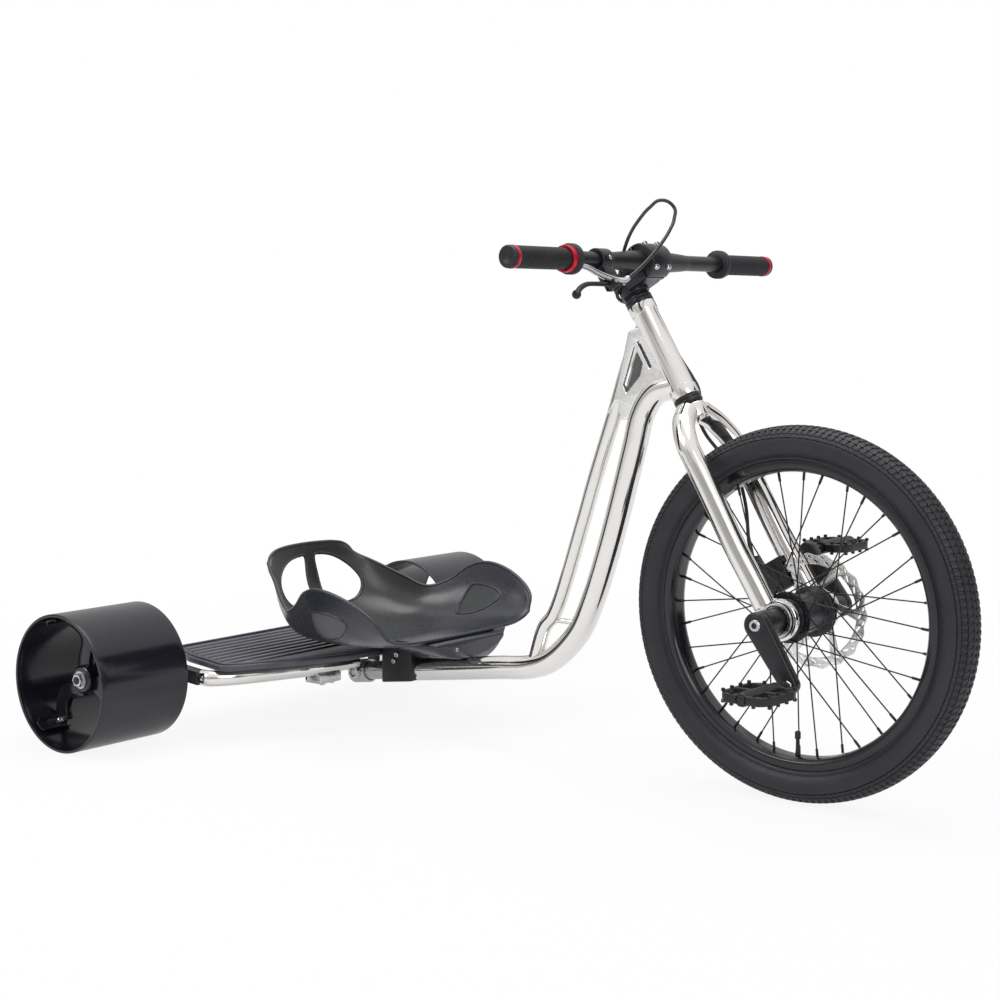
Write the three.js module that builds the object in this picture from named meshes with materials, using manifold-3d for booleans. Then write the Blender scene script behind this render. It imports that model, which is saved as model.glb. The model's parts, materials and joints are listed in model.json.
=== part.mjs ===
// A drift trike: a pedalled 20-inch front wheel in a long raked fork, a low bucket seat on a bent
// main tube, and a sliding rear frame with a footboard between two wide plastic sleeve wheels.
// Millimetres, +X forward, +Y to the rider's left, +Z up. The origin is on the ground, under the
// middle of the whole trike.
import * as THREE from "three";
import { mergeVertices } from "three/addons/utils/BufferGeometryUtils.js";
import Module from "manifold-3d";

const wasm = await Module();
wasm.setup();

// Driving dimensions
const wheelbase = 1000;
const frontRadius = 257;
const rearRadius = 106;
const rearTrack = 779.5; // between the middles of the two rear sleeves
const headAngle = THREE.MathUtils.degToRad(31.5); // steering axis back from the vertical
const axleDrop = 494; // along the steering axis, from the top of the head tube to the axle
const forkOffset = 8.2; // axle ahead of the steering axis
const seat = 0.3; // between two pieces that rest on each other
const running = 0.8; // between two pieces that move past each other
const overrun = 30; // how far a cutter reaches past what it cuts

// Facets round each kind of turned piece
const frontSides = 36;
const rearSides = 28;
const tubeSides = 14;
const smallSides = 12;
const ringSides = 18;
const rodSides = 8;
const hexSides = 6;

const steel = { color: 0x9a9ca0, roughness: 0.3, metalness: 1 };
const chrome = { color: 0xe2e2de, roughness: 0.08, metalness: 1 };
const blackMetal = { color: 0x16171a, roughness: 0.4, metalness: 0.4 };
const blackPlastic = { color: 0x1b1c20, roughness: 0.45, metalness: 0 };
const seatPlastic = { color: 0x2c2e36, roughness: 0.4, metalness: 0 };
const rubber = { color: 0x141414, roughness: 0.85, metalness: 0 };
const redMetal = { color: 0xc0142c, roughness: 0.35, metalness: 0.3 };

// Shape helpers
function solidOf(geometry) {
  const plain = geometry.index ? geometry.toNonIndexed() : geometry.clone();
  plain.deleteAttribute("normal");
  plain.deleteAttribute("uv");
  const merged = mergeVertices(plain);
  return new wasm.Manifold(
    new wasm.Mesh({
      numProp: 3,
      vertProperties: merged.getAttribute("position").array,
      triVerts: new Uint32Array(merged.index.array),
    }),
  );
}

function geometryOf(solid) {
  const mesh = solid.getMesh();
  return new THREE.BufferGeometry()
    .setAttribute("position", new THREE.BufferAttribute(mesh.vertProperties, mesh.numProp))
    .setIndex(new THREE.BufferAttribute(mesh.triVerts, 1));
}

function joined(first, ...others) {
  return geometryOf(others.reduce((sum, other) => sum.add(solidOf(other)), solidOf(first)));
}

function cut(body, ...cutters) {
  return geometryOf(cutters.reduce((left, cutter) => left.subtract(solidOf(cutter)), solidOf(body)));
}

function common(first, second) {
  return geometryOf(solidOf(first).intersect(solidOf(second)));
}

// Turned about Y from [radius, distance along Y] pairs, with a facet facing straight down.
function turned(profile, sides) {
  const points = profile.map(([radius, along]) => new THREE.Vector2(radius, along));
  if (THREE.ShapeUtils.isClockWise(points)) points.reverse();
  if (points[0].x > 0) points.push(points[0].clone());
  return new THREE.LatheGeometry(points, sides, Math.PI / sides);
}

// The corner radius that keeps every facet of a bore clear of a shaft of the given radius.
function boreRound(radius, clearance, sides) {
  return (radius + clearance) / Math.cos(Math.PI / sides);
}

function ring(inner, outer, from, to, sides) {
  return turned([[inner, from], [outer, from], [outer, to], [inner, to]], sides);
}

function rod(from, to, radius, sides = rodSides) {
  const along = to.clone().sub(from);
  const turn = new THREE.Quaternion().setFromUnitVectors(
    new THREE.Vector3(0, 1, 0),
    along.clone().normalize(),
  );
  return new THREE.CylinderGeometry(radius, radius, along.length(), sides)
    .applyQuaternion(turn)
    .translate(...from.clone().add(to).multiplyScalar(1 / 2).toArray());
}

const smooth = (points) => new THREE.CatmullRomCurve3(points, false, "centripetal");

function bentTube(points, radius, sides, steps) {
  const corners = Array.from({ length: sides }, (_, i) => {
    const turn = (2 * Math.PI * i) / sides;
    return new THREE.Vector2(radius * Math.cos(turn), radius * Math.sin(turn));
  });
  return new THREE.ExtrudeGeometry(new THREE.Shape(corners), { steps, extrudePath: smooth(points) });
}

// A plate whose outline lies in X and Z, between two distances along Y.
function sidePlate(outline, fromY, toY) {
  const shape = new THREE.Shape(outline.map(([x, z]) => new THREE.Vector2(x, z)));
  return new THREE.ExtrudeGeometry(shape, { depth: toY - fromY, bevelEnabled: false })
    .rotateX(Math.PI / 2)
    .translate(0, toY, 0);
}

// A plate whose outline lies in X and Y, between two heights.
function flatPlate(outline, fromZ, toZ) {
  const shape = new THREE.Shape(outline.map(([x, y]) => new THREE.Vector2(x, y)));
  return new THREE.ExtrudeGeometry(shape, { depth: toZ - fromZ, bevelEnabled: false })
    .translate(0, 0, fromZ);
}

// A box between two corners.
function block(low, high) {
  const size = high.map((value, axis) => value - low[axis]);
  const middle = high.map((value, axis) => (value + low[axis]) / 2);
  return new THREE.BoxGeometry(...size).translate(...middle);
}

function piece(name, geometry, finish) {
  const mesh = new THREE.Mesh(geometry, new THREE.MeshStandardMaterial(finish));
  mesh.name = name;
  return mesh;
}

const point = (x, y, z) => new THREE.Vector3(x, y, z);
const sideName = (side) => (side < 0 ? "right" : "left");

// The steering axis: its own frame has X forward across the axis, Y up along it and Z to the right.
const headTop = point(
  wheelbase - axleDrop * Math.sin(headAngle) - forkOffset * Math.cos(headAngle),
  0,
  frontRadius + axleDrop * Math.cos(headAngle) - forkOffset * Math.sin(headAngle),
);
const headFrame = new THREE.Matrix4()
  .makeBasis(
    point(Math.cos(headAngle), 0, Math.sin(headAngle)),
    point(-Math.sin(headAngle), 0, Math.cos(headAngle)),
    point(0, -1, 0),
  )
  .setPosition(headTop);
const onHead = (forward, up, right) => point(forward, up, right).applyMatrix4(headFrame);

const steerer = { radius: 14.3, top: 50 };
const headTube = { length: 151, radius: 18.5, bore: 17, collar: 20, collarHeight: 15 };
const cup = { height: 13.5, radius: 20, skirt: 8, lip: 18, rounding: 0.75 };

// Main tube: straight along the bottom, then bent up and forward into the head tube
const mainTube = { radius: 18, rearX: 247, rearZ: 87, joint: 21, steps: 22 };
const lowerSlope = THREE.MathUtils.degToRad(8);
const lowerAxis = point(Math.cos(lowerSlope), 0, Math.sin(lowerSlope));
const mainRear = point(mainTube.rearX, 0, mainTube.rearZ);
const mainFront = onHead(0, mainTube.joint - headTube.length, 0);
const mainPathShares = [
  [0, 0],
  [0.2, 0.0329],
  [0.413, 0.0679],
  [0.52, 0.0855],
  [0.595, 0.12],
  [0.6825, 0.2163],
  [0.7256, 0.3109],
  [0.7866, 0.5104],
  [0.8603, 0.8065],
  [0.886, 0.912],
  [0.927, 0.974],
  [1, 1],
];

function betweenEnds(from, to, shares) {
  const reach = to.clone().sub(from);
  return shares.map(([along, up]) => point(from.x + along * reach.x, 0, from.z + up * reach.z));
}

const mainPath = betweenEnds(mainRear, mainFront, mainPathShares);

function mainTubeGeometry(radius) {
  return bentTube(mainPath, radius, tubeSides, mainTube.steps);
}

const headCore = (radius) =>
  rod(onHead(0, 0, 0), onHead(0, -headTube.length, 0), radius, ringSides);

// The room of one collar of the head tube, by its distance down from the top.
function collarCore(down) {
  const reach = boreRound(headTube.collar, seat, ringSides);
  const to = down + headTube.collarHeight + seat;
  return rod(onHead(0, seat - down, 0), onHead(0, -to, 0), reach, ringSides);
}

// Slide tube: runs inside the straight part of the main tube
const slideTube = { radius: 15, wall: 2.2, inside: 150, outside: 78 };
const slideAt = (distance) => mainRear.clone().addScaledVector(lowerAxis, distance);

function makeMainTube() {
  const bore = rod(
    slideAt(-overrun),
    slideAt(slideTube.inside + running),
    boreRound(slideTube.radius, running, tubeSides),
    tubeSides,
  );
  const body = headCore(boreRound(headTube.radius, seat, ringSides));
  const collars = [collarCore(0), collarCore(headTube.length - headTube.collarHeight)];
  const whole = mainTubeGeometry(mainTube.radius);
  return piece("main_tube", cut(whole, bore, body, ...collars), chrome);
}

function makeHeadTube() {
  const { length, radius, bore, collar, collarHeight } = headTube;
  const profile = [
    [bore, -length],
    [collar, -length],
    [collar, -length + collarHeight],
    [radius, -length + collarHeight],
    [radius, -collarHeight],
    [collar, -collarHeight],
    [collar, 0],
    [bore, 0],
  ];
  return piece("head_tube", turned(profile, ringSides), chrome);
}

// Thin upper tube, with the small bridge that ties its foot to the main tube
const topTube = { radius: 11, joint: 22, steps: 14, footX: 545, footZ: 141 };
const topPathShares = [
  [0, 0],
  [0.09, 0.1],
  [0.18, 0.142],
  [0.442, 0.42],
  [0.539, 0.535],
  [0.72, 0.734],
  [0.874, 0.906],
  [1, 1],
];
const bridge = { radius: 4, height: 202, samples: 140 };
const topFoot = point(topTube.footX, 0, topTube.footZ);
const topPath = betweenEnds(topFoot, onHead(0, -topTube.joint, 0), topPathShares);

function topTubeGeometry(radius) {
  return bentTube(topPath, radius, smallSides, topTube.steps);
}

function makeTopTube() {
  const places = smooth(topPath).getPoints(bridge.samples);
  const bridgeFrom = places.find((place) => place.z >= bridge.height);
  const bridgeTo = bridgeFrom.clone().setX(bridgeFrom.x + 4 * topTube.radius);
  const whole = joined(topTubeGeometry(topTube.radius), rod(bridgeFrom, bridgeTo, bridge.radius));
  const body = headCore(boreRound(headTube.radius, seat, ringSides));
  const room = mainTubeGeometry(mainTube.radius + 2 * seat);
  return piece("top_tube", cut(whole, room, body, collarCore(0)), chrome);
}

// Formed gusset: it wraps the upper end of the top tube, and its front edge lies on the main tube
// and the head tube, which trim it. Its rear and lower edges have [down, back] shares: of its height
// down the top tube, and of that tube's radius behind its middle line. The corners of the pocket in
// each side have [forward, down] shares of the head tube's length, from its top.
const gusset = { height: 150, wall: 2, web: 3 };
const gussetRearShares = [
  [0.13, 1.4],
  [0.34, 0.65],
  [0.62, 0.2],
  [0.85, 0.1],
  [1, 0.45],
  [0.84, -0.6],
  [1.053, -2],
  [1.03, -3.1],
];
const gussetFrontShares = [0.53, 1 / 3, 0.15, 0]; // of its height, back along the main tube
const gussetHoleShares = [
  [-0.021, 0.377],
  [0.078, 0.538],
  [0.051, 0.658],
  [-0.108, 0.83],
  [-0.149, 0.75],
];

function gussetOutline() {
  const [upper, lower] = [topPath, mainPath].map(smooth);
  const onTube = (tube, down) => tube.getPointAt(1 - (down * gusset.height) / tube.getLength());
  const rear = gussetRearShares.map(([down, back]) => {
    const place = onTube(upper, down);
    return place.setX(place.x - back * topTube.radius);
  });
  const front = gussetFrontShares.map((down) => onTube(lower, down));
  const corners = [...rear, ...front, headTop.clone().lerp(mainFront, 1 / 4)];
  return corners.map((corner) => [corner.x, corner.z]);
}

function makeGusset() {
  const half = topTube.radius + gusset.wall;
  const plate = sidePlate(gussetOutline(), -half, half);
  const hole = gussetHoleShares.map(([forward, down]) => [
    headTop.x + forward * headTube.length,
    headTop.z - down * headTube.length,
  ]);
  const pockets = [-1, 1].map((side) => {
    const ends = [side * (gusset.web / 2), side * (half + overrun)];
    return sidePlate(hole, Math.min(...ends), Math.max(...ends));
  });
  const trimmed = cut(
    plate,
    ...pockets,
    mainTubeGeometry(mainTube.radius + 2 * seat),
    topTubeGeometry(topTube.radius + 2 * seat),
    headCore(boreRound(headTube.radius, seat, ringSides)),
    collarCore(0),
    collarCore(headTube.length - headTube.collarHeight),
  );
  return piece("frame_gusset", trimmed, chrome);
}

function makeCup(name, turnOver) {
  const inside = boreRound(steerer.radius, running, ringSides);
  const profile = [
    [inside, -cup.skirt],
    [headTube.bore - seat, -cup.skirt],
    [headTube.bore - seat, seat],
    [cup.radius, seat],
    [cup.radius, cup.height * cup.rounding],
    [cup.lip, cup.height],
    [inside, cup.height],
  ];
  const mesh = piece(name, turned(profile, ringSides), blackMetal);
  if (turnOver) mesh.rotation.x = Math.PI;
  mesh.position.y = turnOver ? -headTube.length : 0;
  return mesh;
}

// Seat: a bucket lofted from a centre line to a rim, back to front, as [x, z] and [x, y, z] shares
const bucket = { rearX: 59, length: 338, halfWidth: 200, lowest: 139, rise: 140, wall: 4 };
const seatCentreShares = [
  [0, 1],
  [0.053, 0.479],
  [0.15, 0.2],
  [0.3, 0.05],
  [0.46, 0],
  [0.58, 0],
  [0.69, 0.015],
  [0.83, 0.055],
  [0.95, 0.12],
  [1, 0.17],
];
const seatRimShares = [
  [0.01, 0.5, 0.88],
  [0.133, 0.69, 0.693],
  [0.246, 0.74, 0.55],
  [0.352, 0.815, 0.43],
  [0.462, 0.9, 0.52],
  [0.565, 0.975, 0.7],
  [0.669, 1, 0.757],
  [0.831, 0.985, 0.67],
  [0.964, 0.93, 0.47],
  [1, 0.85, 0.28],
];
const acrossShares = [0, 0.3, 0.58, 0.8, 0.93, 1];
const upShares = [0, 0.02, 0.09, 0.27, 0.6, 1];
const windowShares = [
  [0.06, 0.88],
  [0.23, 0.87],
  [0.4, 0.8],
  [0.47, 0.67],
  [0.48, 0.51],
  [0.45, 0.34],
  [0.365, 0.29],
  [0.25, 0.38],
  [0.07, 0.45],
];
const facingForward = new THREE.Matrix4().makeBasis(point(0, 1, 0), point(0, 0, 1), point(1, 0, 0));
const seatX = (share) => bucket.rearX + share * bucket.length;
const seatZ = (share) => bucket.lowest + share * bucket.rise;

function seatGrid() {
  const across = [...acrossShares.slice(1).reverse().map((share) => -share), ...acrossShares];
  const up = [...upShares.slice(1).reverse(), ...upShares];
  return seatCentreShares.map(([centreX, centreZ], station) => {
    const [rimX, rimY, rimZ] = seatRimShares[station];
    return across.map((share, i) =>
      point(
        seatX(centreX + up[i] * (rimX - centreX)),
        share * rimY * bucket.halfWidth,
        seatZ(centreZ + up[i] * (rimZ - centreZ)),
      ),
    );
  });
}

function gridNormals(grid) {
  const last = (list) => list.length - 1;
  return grid.map((row, i) =>
    row.map((_, j) => {
      const along = grid[Math.min(i + 1, last(grid))][j].clone().sub(grid[Math.max(i - 1, 0)][j]);
      const over = row[Math.min(j + 1, last(row))].clone().sub(row[Math.max(j - 1, 0)]);
      return along.cross(over).normalize();
    }),
  );
}

// The closed skin between two grids of points, the upper one first.
function sheetBetween(upper, lower) {
  const rows = upper.length;
  const columns = upper[0].length;
  const positions = [...upper.flat(), ...lower.flat()].flatMap((corner) => corner.toArray());
  const top = (i, j) => i * columns + j;
  const bottom = (i, j) => rows * columns + top(i, j);
  const index = [];
  const quad = (a, b, c, d) => index.push(a, b, c, a, c, d);
  for (let i = 0; i < rows - 1; i += 1) {
    for (let j = 0; j < columns - 1; j += 1) {
      quad(top(i, j), top(i + 1, j), top(i + 1, j + 1), top(i, j + 1));
      quad(bottom(i, j), bottom(i, j + 1), bottom(i + 1, j + 1), bottom(i + 1, j));
    }
    quad(top(i, 0), bottom(i, 0), bottom(i + 1, 0), top(i + 1, 0));
    const edge = columns - 1;
    quad(top(i, edge), top(i + 1, edge), bottom(i + 1, edge), bottom(i, edge));
  }
  for (let j = 0; j < columns - 1; j += 1) {
    const end = rows - 1;
    quad(top(0, j), top(0, j + 1), bottom(0, j + 1), bottom(0, j));
    quad(top(end, j), bottom(end, j), bottom(end, j + 1), top(end, j + 1));
  }
  return new THREE.BufferGeometry()
    .setAttribute("position", new THREE.Float32BufferAttribute(positions, 3))
    .setIndex(index);
}

function makeSeat() {
  const upper = seatGrid();
  const normals = gridNormals(upper);
  const lower = upper.map((row, i) =>
    row.map((corner, j) => corner.clone().addScaledVector(normals[i][j], -bucket.wall)),
  );
  const depth = bucket.length / 3 + overrun;
  const windows = [-1, 1].map((side) => {
    const outline = windowShares.map(([across, up]) => [side * across * bucket.halfWidth, seatZ(up)]);
    const shape = new THREE.Shape(outline.map(([y, z]) => new THREE.Vector2(y, z)));
    return new THREE.ExtrudeGeometry(shape, { depth, bevelEnabled: false })
      .applyMatrix4(facingForward)
      .translate(bucket.rearX - overrun, 0, 0);
  });
  return piece("seat_shell", cut(sheetBetween(upper, lower), ...windows), seatPlastic);
}

// The room above the seat's underside, which trims what stands below the seat.
function seatTrim() {
  const grid = seatGrid();
  grid[grid.length - 1].forEach((corner) => corner.setX(corner.x + overrun));
  const shifted = (by) =>
    grid.map((row) => row.map((corner) => corner.clone().setZ(corner.z + by)));
  return sheetBetween(shifted(bucket.rise), shifted(-bucket.wall - 2 * seat));
}

// Fairing under the front of the seat, astride the main tube
const pedestal = { rear: 330, front: 418, top: 170, bottom: 127, halfTop: 90, halfBottom: 66 };

function makePedestal() {
  const { rear, front, top, bottom, halfTop, halfBottom } = pedestal;
  const profile = [[-halfBottom, bottom], [halfBottom, bottom], [halfTop, top], [-halfTop, top]];
  const shape = new THREE.Shape(profile.map(([y, z]) => new THREE.Vector2(y, z)));
  const wedge = new THREE.ExtrudeGeometry(shape, { depth: front - rear, bevelEnabled: false })
    .applyMatrix4(facingForward)
    .translate(rear, 0, 0);
  const room = mainTubeGeometry(mainTube.radius + 2 * seat);
  return piece("seat_pedestal", cut(wedge, seatTrim(), room), seatPlastic);
}

// Black bracket that clasps the rear of the main tube and carries the seat; its lower edge follows
// the tube, and its bolts have [along, up] shares of its length and height
const bracket = { length: 64, halfWidth: 23, bottom: 70, top: 136 };
const bracketBolt = { radius: 3, head: 4.5, headHeight: 4, length: 8 };
const bracketBolts = {
  saddle_bolt_upper: [0.55, 0.75],
  saddle_bolt_lower: [0.45, 0.585],
};

function makeBracket() {
  const rear = mainTube.rearX + seat;
  const front = mainTube.rearX + bracket.length;
  const rise = bracket.length * Math.tan(lowerSlope);
  const outline = [
    [rear, bracket.bottom],
    [front, bracket.bottom + rise],
    [front, bracket.top],
    [rear, bracket.top],
  ];
  const tubeEnd = rod(slideAt(-overrun), slideAt(overrun), mainTube.radius + 2 * seat, tubeSides);
  const holes = Object.values(bracketBolts).map((shares) =>
    bracketRod(shares, seat, -bracketBolt.length - seat, bracketBolt.radius + seat),
  );
  const body = sidePlate(outline, -bracket.halfWidth, bracket.halfWidth);
  const room = mainTubeGeometry(mainTube.radius + 2 * seat);
  return piece("saddle_bracket", cut(body, room, tubeEnd, seatTrim(), ...holes), blackMetal);
}

// A rod across the near wall of the bracket, from one distance outside its face to another.
function bracketRod([along, up], from, to, radius, sides = rodSides) {
  const x = mainTube.rearX + along * bracket.length;
  const z = bracket.bottom + up * (bracket.top - bracket.bottom);
  const place = (out) => point(x, -bracket.halfWidth - out, z);
  return rod(place(from), place(to), radius, sides);
}

function makeBracketBolts() {
  return Object.entries(bracketBolts).map(([name, shares]) => {
    const top = seat + bracketBolt.headHeight;
    const head = bracketRod(shares, seat, top, bracketBolt.head, hexSides);
    const shank = bracketRod(shares, seat, -bracketBolt.length, bracketBolt.radius);
    return piece(name, joined(shank, head), steel);
  });
}

// Fork: steerer and crown, and two legs that bend out to pass the tyre
const crown = { height: 22, radius: 19 };
const leg = { radius: 15.8, spread: 60, steps: 15, end: 470 };
const forkTop = headTube.length + cup.height + 2 * seat;
const legPathShares = [
  [0.02, 0.03, 0.3],
  [0.03, 0.09, 0.68],
  [0.12, 0.2, 0.97],
  [0.16, 0.27, 1],
  [0.1, 0.48, 1],
  [0.0, 0.7, 1],
  [0.08, 0.88, 1],
  [0.1, 1, 1],
];
const dropout = { radius: 29, from: 50, to: 60, bore: 12, cap: 5, capRadius: 24 };

function makeSteerer() {
  const profile = [
    [0, -forkTop - crown.height],
    [crown.radius, -forkTop - crown.height],
    [crown.radius, -forkTop],
    [steerer.radius, -forkTop],
    [steerer.radius, steerer.top],
    [0, steerer.top],
  ];
  return piece("fork_steerer", turned(profile, ringSides), chrome);
}

function legGeometry(side, extra) {
  const from = forkTop;
  const path = legPathShares.map(([forward, down, out]) =>
    point(forward * leg.radius, -from - down * (leg.end - from), -side * out * leg.spread),
  );
  return bentTube(path, leg.radius + extra, smallSides, leg.steps);
}

function makeLeg(side) {
  const plate = ring(dropout.bore, dropout.radius, dropout.from, dropout.to, ringSides)
    .rotateX(-side * (Math.PI / 2))
    .translate(forkOffset, -axleDrop, 0);
  const bottom = -forkTop - crown.height - 2 * seat;
  const steererRoom = ring(0, crown.radius + 2 * seat, bottom, 0, ringSides);
  const hole = ring(0, dropout.bore, dropout.from - overrun, dropout.to + overrun, ringSides)
    .rotateX(-side * (Math.PI / 2))
    .translate(forkOffset, -axleDrop, 0);
  const whole = joined(legGeometry(side, 0), plate);
  return piece(`fork_leg_${sideName(side)}`, cut(whole, hole, steererRoom), chrome);
}

function makeDropoutCap(side) {
  const from = dropout.to + seat;
  const cap = ring(dropout.bore, dropout.capRadius, from, from + dropout.cap, ringSides)
    .rotateX(-side * (Math.PI / 2))
    .translate(forkOffset, -axleDrop, 0);
  return piece(`dropout_cap_${sideName(side)}`, cut(cap, legGeometry(side, 2 * seat)), steel);
}

// Stem and bar, in the steering frame, with Z to the right
const stem = { forward: 41.6, up: 46, clamp: 26, halfWidth: 24, sleeve: 21, from: 16, neck: 15 };
const bar = { radius: 11.1, bulge: 15.9, bulgeHalf: 28, taper: 95, half: 312, bore: 8.6 };
const faceGap = 1.2; // between the stem and its faceplate

function aboutBar(geometry) {
  return geometry.rotateX(Math.PI / 2).translate(stem.forward, stem.up, 0);
}

function barBore() {
  return aboutBar(ring(0, boreRound(bar.bulge, seat, tubeSides), -bar.taper, bar.taper, tubeSides));
}

function makeStem() {
  const inside = boreRound(steerer.radius, seat, ringSides);
  const sleeve = ring(inside, stem.sleeve, stem.from, steerer.top - seat, ringSides);
  const neck = block(
    [steerer.radius + seat, stem.from + stem.neck, -stem.neck],
    [stem.forward - bar.bulge, steerer.top - seat, stem.neck],
  );
  const clamp = common(
    aboutBar(ring(0, stem.clamp, -stem.halfWidth, stem.halfWidth, ringSides)),
    block(
      [stem.forward - 2 * stem.clamp, 0, -stem.halfWidth],
      [stem.forward - faceGap / 2, stem.up + 2 * stem.clamp, stem.halfWidth],
    ),
  );
  const room = ring(0, inside, -overrun, steerer.top + overrun, ringSides);
  return piece("stem", cut(joined(sleeve, neck, clamp), barBore(), room), blackMetal);
}

function makeFaceplate() {
  const cap = common(
    aboutBar(ring(0, stem.clamp, -stem.halfWidth, stem.halfWidth, ringSides)),
    block(
      [stem.forward + faceGap / 2, 0, -stem.halfWidth],
      [stem.forward + 2 * stem.clamp, stem.up + 2 * stem.clamp, stem.halfWidth],
    ),
  );
  return piece("stem_faceplate", cut(cap, barBore()), blackMetal);
}

function makeSpacer() {
  const inside = boreRound(steerer.radius, seat, ringSides);
  const from = cup.height + running / 2;
  return piece("headset_spacer", ring(inside, cup.lip, from, stem.from - seat, ringSides), blackMetal);
}

const capPlate = { radius: 15, height: 5, bevel: 2.5 };

function makeTopCap() {
  const from = steerer.top + seat;
  const to = from + capPlate.height;
  const profile = [
    [0, from],
    [capPlate.radius, from],
    [capPlate.radius - capPlate.bevel, to],
    [0, to],
  ];
  return piece("top_cap", turned(profile, smallSides), blackMetal);
}

function makeBar() {
  const half = [
    [bar.bulge, bar.bulgeHalf],
    [bar.radius, bar.taper],
    [bar.radius, bar.half],
    [bar.bore, bar.half],
  ];
  const other = half.map(([radius, along]) => [radius, -along]).reverse();
  return piece("handlebar", aboutBar(turned([...half, ...other], tubeSides)), blackMetal);
}

const grip = { radius: 15, flange: 21, from: 177, flangeWidth: 11, half: 317 };
const lockRing = { radius: 18.5, width: 9 };

function makeGrip(side) {
  const inside = boreRound(bar.radius, seat, tubeSides);
  const profile = [
    [0, grip.half],
    [grip.radius - seat, grip.half],
    [grip.radius, grip.half - grip.flangeWidth / 2],
    [grip.radius, grip.from + grip.flangeWidth],
    [grip.flange, grip.from + grip.flangeWidth],
    [grip.flange, grip.from],
    [inside, grip.from],
    [inside, bar.half + seat],
    [0, bar.half + seat],
  ];
  const mesh = piece(`grip_${sideName(side)}`, turned(profile, tubeSides), rubber);
  mesh.rotation.x = -side * (Math.PI / 2);
  mesh.position.set(stem.forward, stem.up, 0);
  return mesh;
}

function makeLockRing(side) {
  const from = grip.from + grip.flangeWidth + seat;
  const inside = boreRound(grip.radius, seat, tubeSides);
  const band = ring(inside, lockRing.radius, from, from + lockRing.width, tubeSides);
  const mesh = piece(`lock_ring_${sideName(side)}`, band, redMetal);
  mesh.rotation.x = -side * (Math.PI / 2);
  mesh.position.set(stem.forward, stem.up, 0);
  return mesh;
}

// Brake lever: a perch clamped on the right of the bar, and a blade that swings up to the grip
const perch = { from: 103, width: 25, wall: 5, halfDepth: 9, ear: 3, hang: 46, pin: 2.4, knuckle: 7 };
const blade = { halfDepth: 5.3, radius: 4.5, ball: 6.5, steps: 12 };
const perchMiddle = perch.from + perch.width / 2;
const pivotUp = stem.up - perch.hang + perch.knuckle;
const bladeShares = [
  [0, 0, 0],
  [0.01, 0, 0.35],
  [0, -0.01, 0.68],
  [-0.02, -0.08, 0.88],
  [-0.04, -0.17, 1],
];
const bladeReach = 86;

function makePerch() {
  const inside = boreRound(bar.radius, seat, tubeSides);
  const middle = stem.forward;
  const outer = bar.radius + perch.wall;
  const clasp = aboutBar(ring(inside, outer, perch.from, perch.from + perch.width, tubeSides));
  const low = pivotUp + perch.knuckle + running;
  const body = block(
    [middle - perch.halfDepth, low, perch.from],
    [middle + perch.halfDepth, stem.up - bar.radius - seat, perch.from + perch.width],
  );
  const wall = block(
    [middle - perch.halfDepth, pivotUp - perch.knuckle, perch.from],
    [middle + perch.halfDepth, low + perch.ear, perch.from + perch.ear],
  );
  const ears = [-perch.halfDepth, perch.halfDepth - perch.ear].map((rear) =>
    block(
      [middle + rear, pivotUp - perch.knuckle, perchMiddle - perch.knuckle],
      [middle + rear + perch.ear, low + perch.ear, perchMiddle + perch.knuckle],
    ),
  );
  const pin = rod(
    point(middle - perch.halfDepth, pivotUp, perchMiddle),
    point(middle + perch.halfDepth, pivotUp, perchMiddle),
    perch.pin,
  );
  return piece("lever_perch", joined(clasp, body, wall, ...ears, pin), blackMetal);
}

function makeBlade() {
  const middle = stem.forward;
  const path = bladeShares.map(([forward, up, out]) =>
    point(middle + forward * bladeReach, pivotUp + up * bladeReach, perchMiddle + out * bladeReach),
  );
  const tip = path[path.length - 1];
  const arm = bentTube(path, blade.radius, rodSides, blade.steps);
  const ends = [-1, 1].map((end) => point(middle + end * blade.halfDepth, pivotUp, perchMiddle));
  const knuckle = rod(ends[0], ends[1], perch.knuckle, smallSides);
  const ball = new THREE.SphereGeometry(blade.ball, rodSides, rodSides / 2)
    .translate(tip.x, tip.y, tip.z);
  const reach = ends.map((end, i) => end.clone().setX(end.x + (i === 0 ? -overrun : overrun)));
  const hole = rod(reach[0], reach[1], boreRound(perch.pin, seat, rodSides), rodSides);
  return piece("brake_lever", cut(joined(arm, knuckle, ball), hole), blackMetal);
}

// Brake cable: its route starts with [forward, up, right] places in the steering frame, and goes on
// by [forward, share, right] down the head tube, and then down the left leg to the cable stop
const cable = { radius: 2.5, sides: 8, steps: 58 };
const adjuster = { radius: 4.5, length: 15 };
const cableRoute = [
  [49, 6, 102.5],
  [56, 11, 86],
  [70, 24, 60],
  [84, 39, 36],
  [98, 60, 8],
  [107, 84, -14],
  [109, 103, -18],
  [101, 112, -4],
  [83, 103, 14],
  [60, 88, 30],
  [38, 69, 37],
  [18, 51, 35],
  [0, 37, 28],
  [-18, 28, 19],
  [-26, 22, 0],
  [-19, 13, -19],
  [-6, 0, -28],
];
const cableHeadShares = [
  [-3, 0.182, -30],
  [0, 0.485, -31],
  [5, 0.787, -32],
  [3, 0.909, -33],
];
const cableLegShares = [
  [-15, 0.01, -35],
  [-23, 0.075, -39],
  [-24, 0.154, -47],
  [-21, 0.239, -55],
  [-17, 0.331, -60],
  [-24, 0.442, -62],
  [-36, 0.547, -62],
  [-50, 0.633, -62],
];

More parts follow.
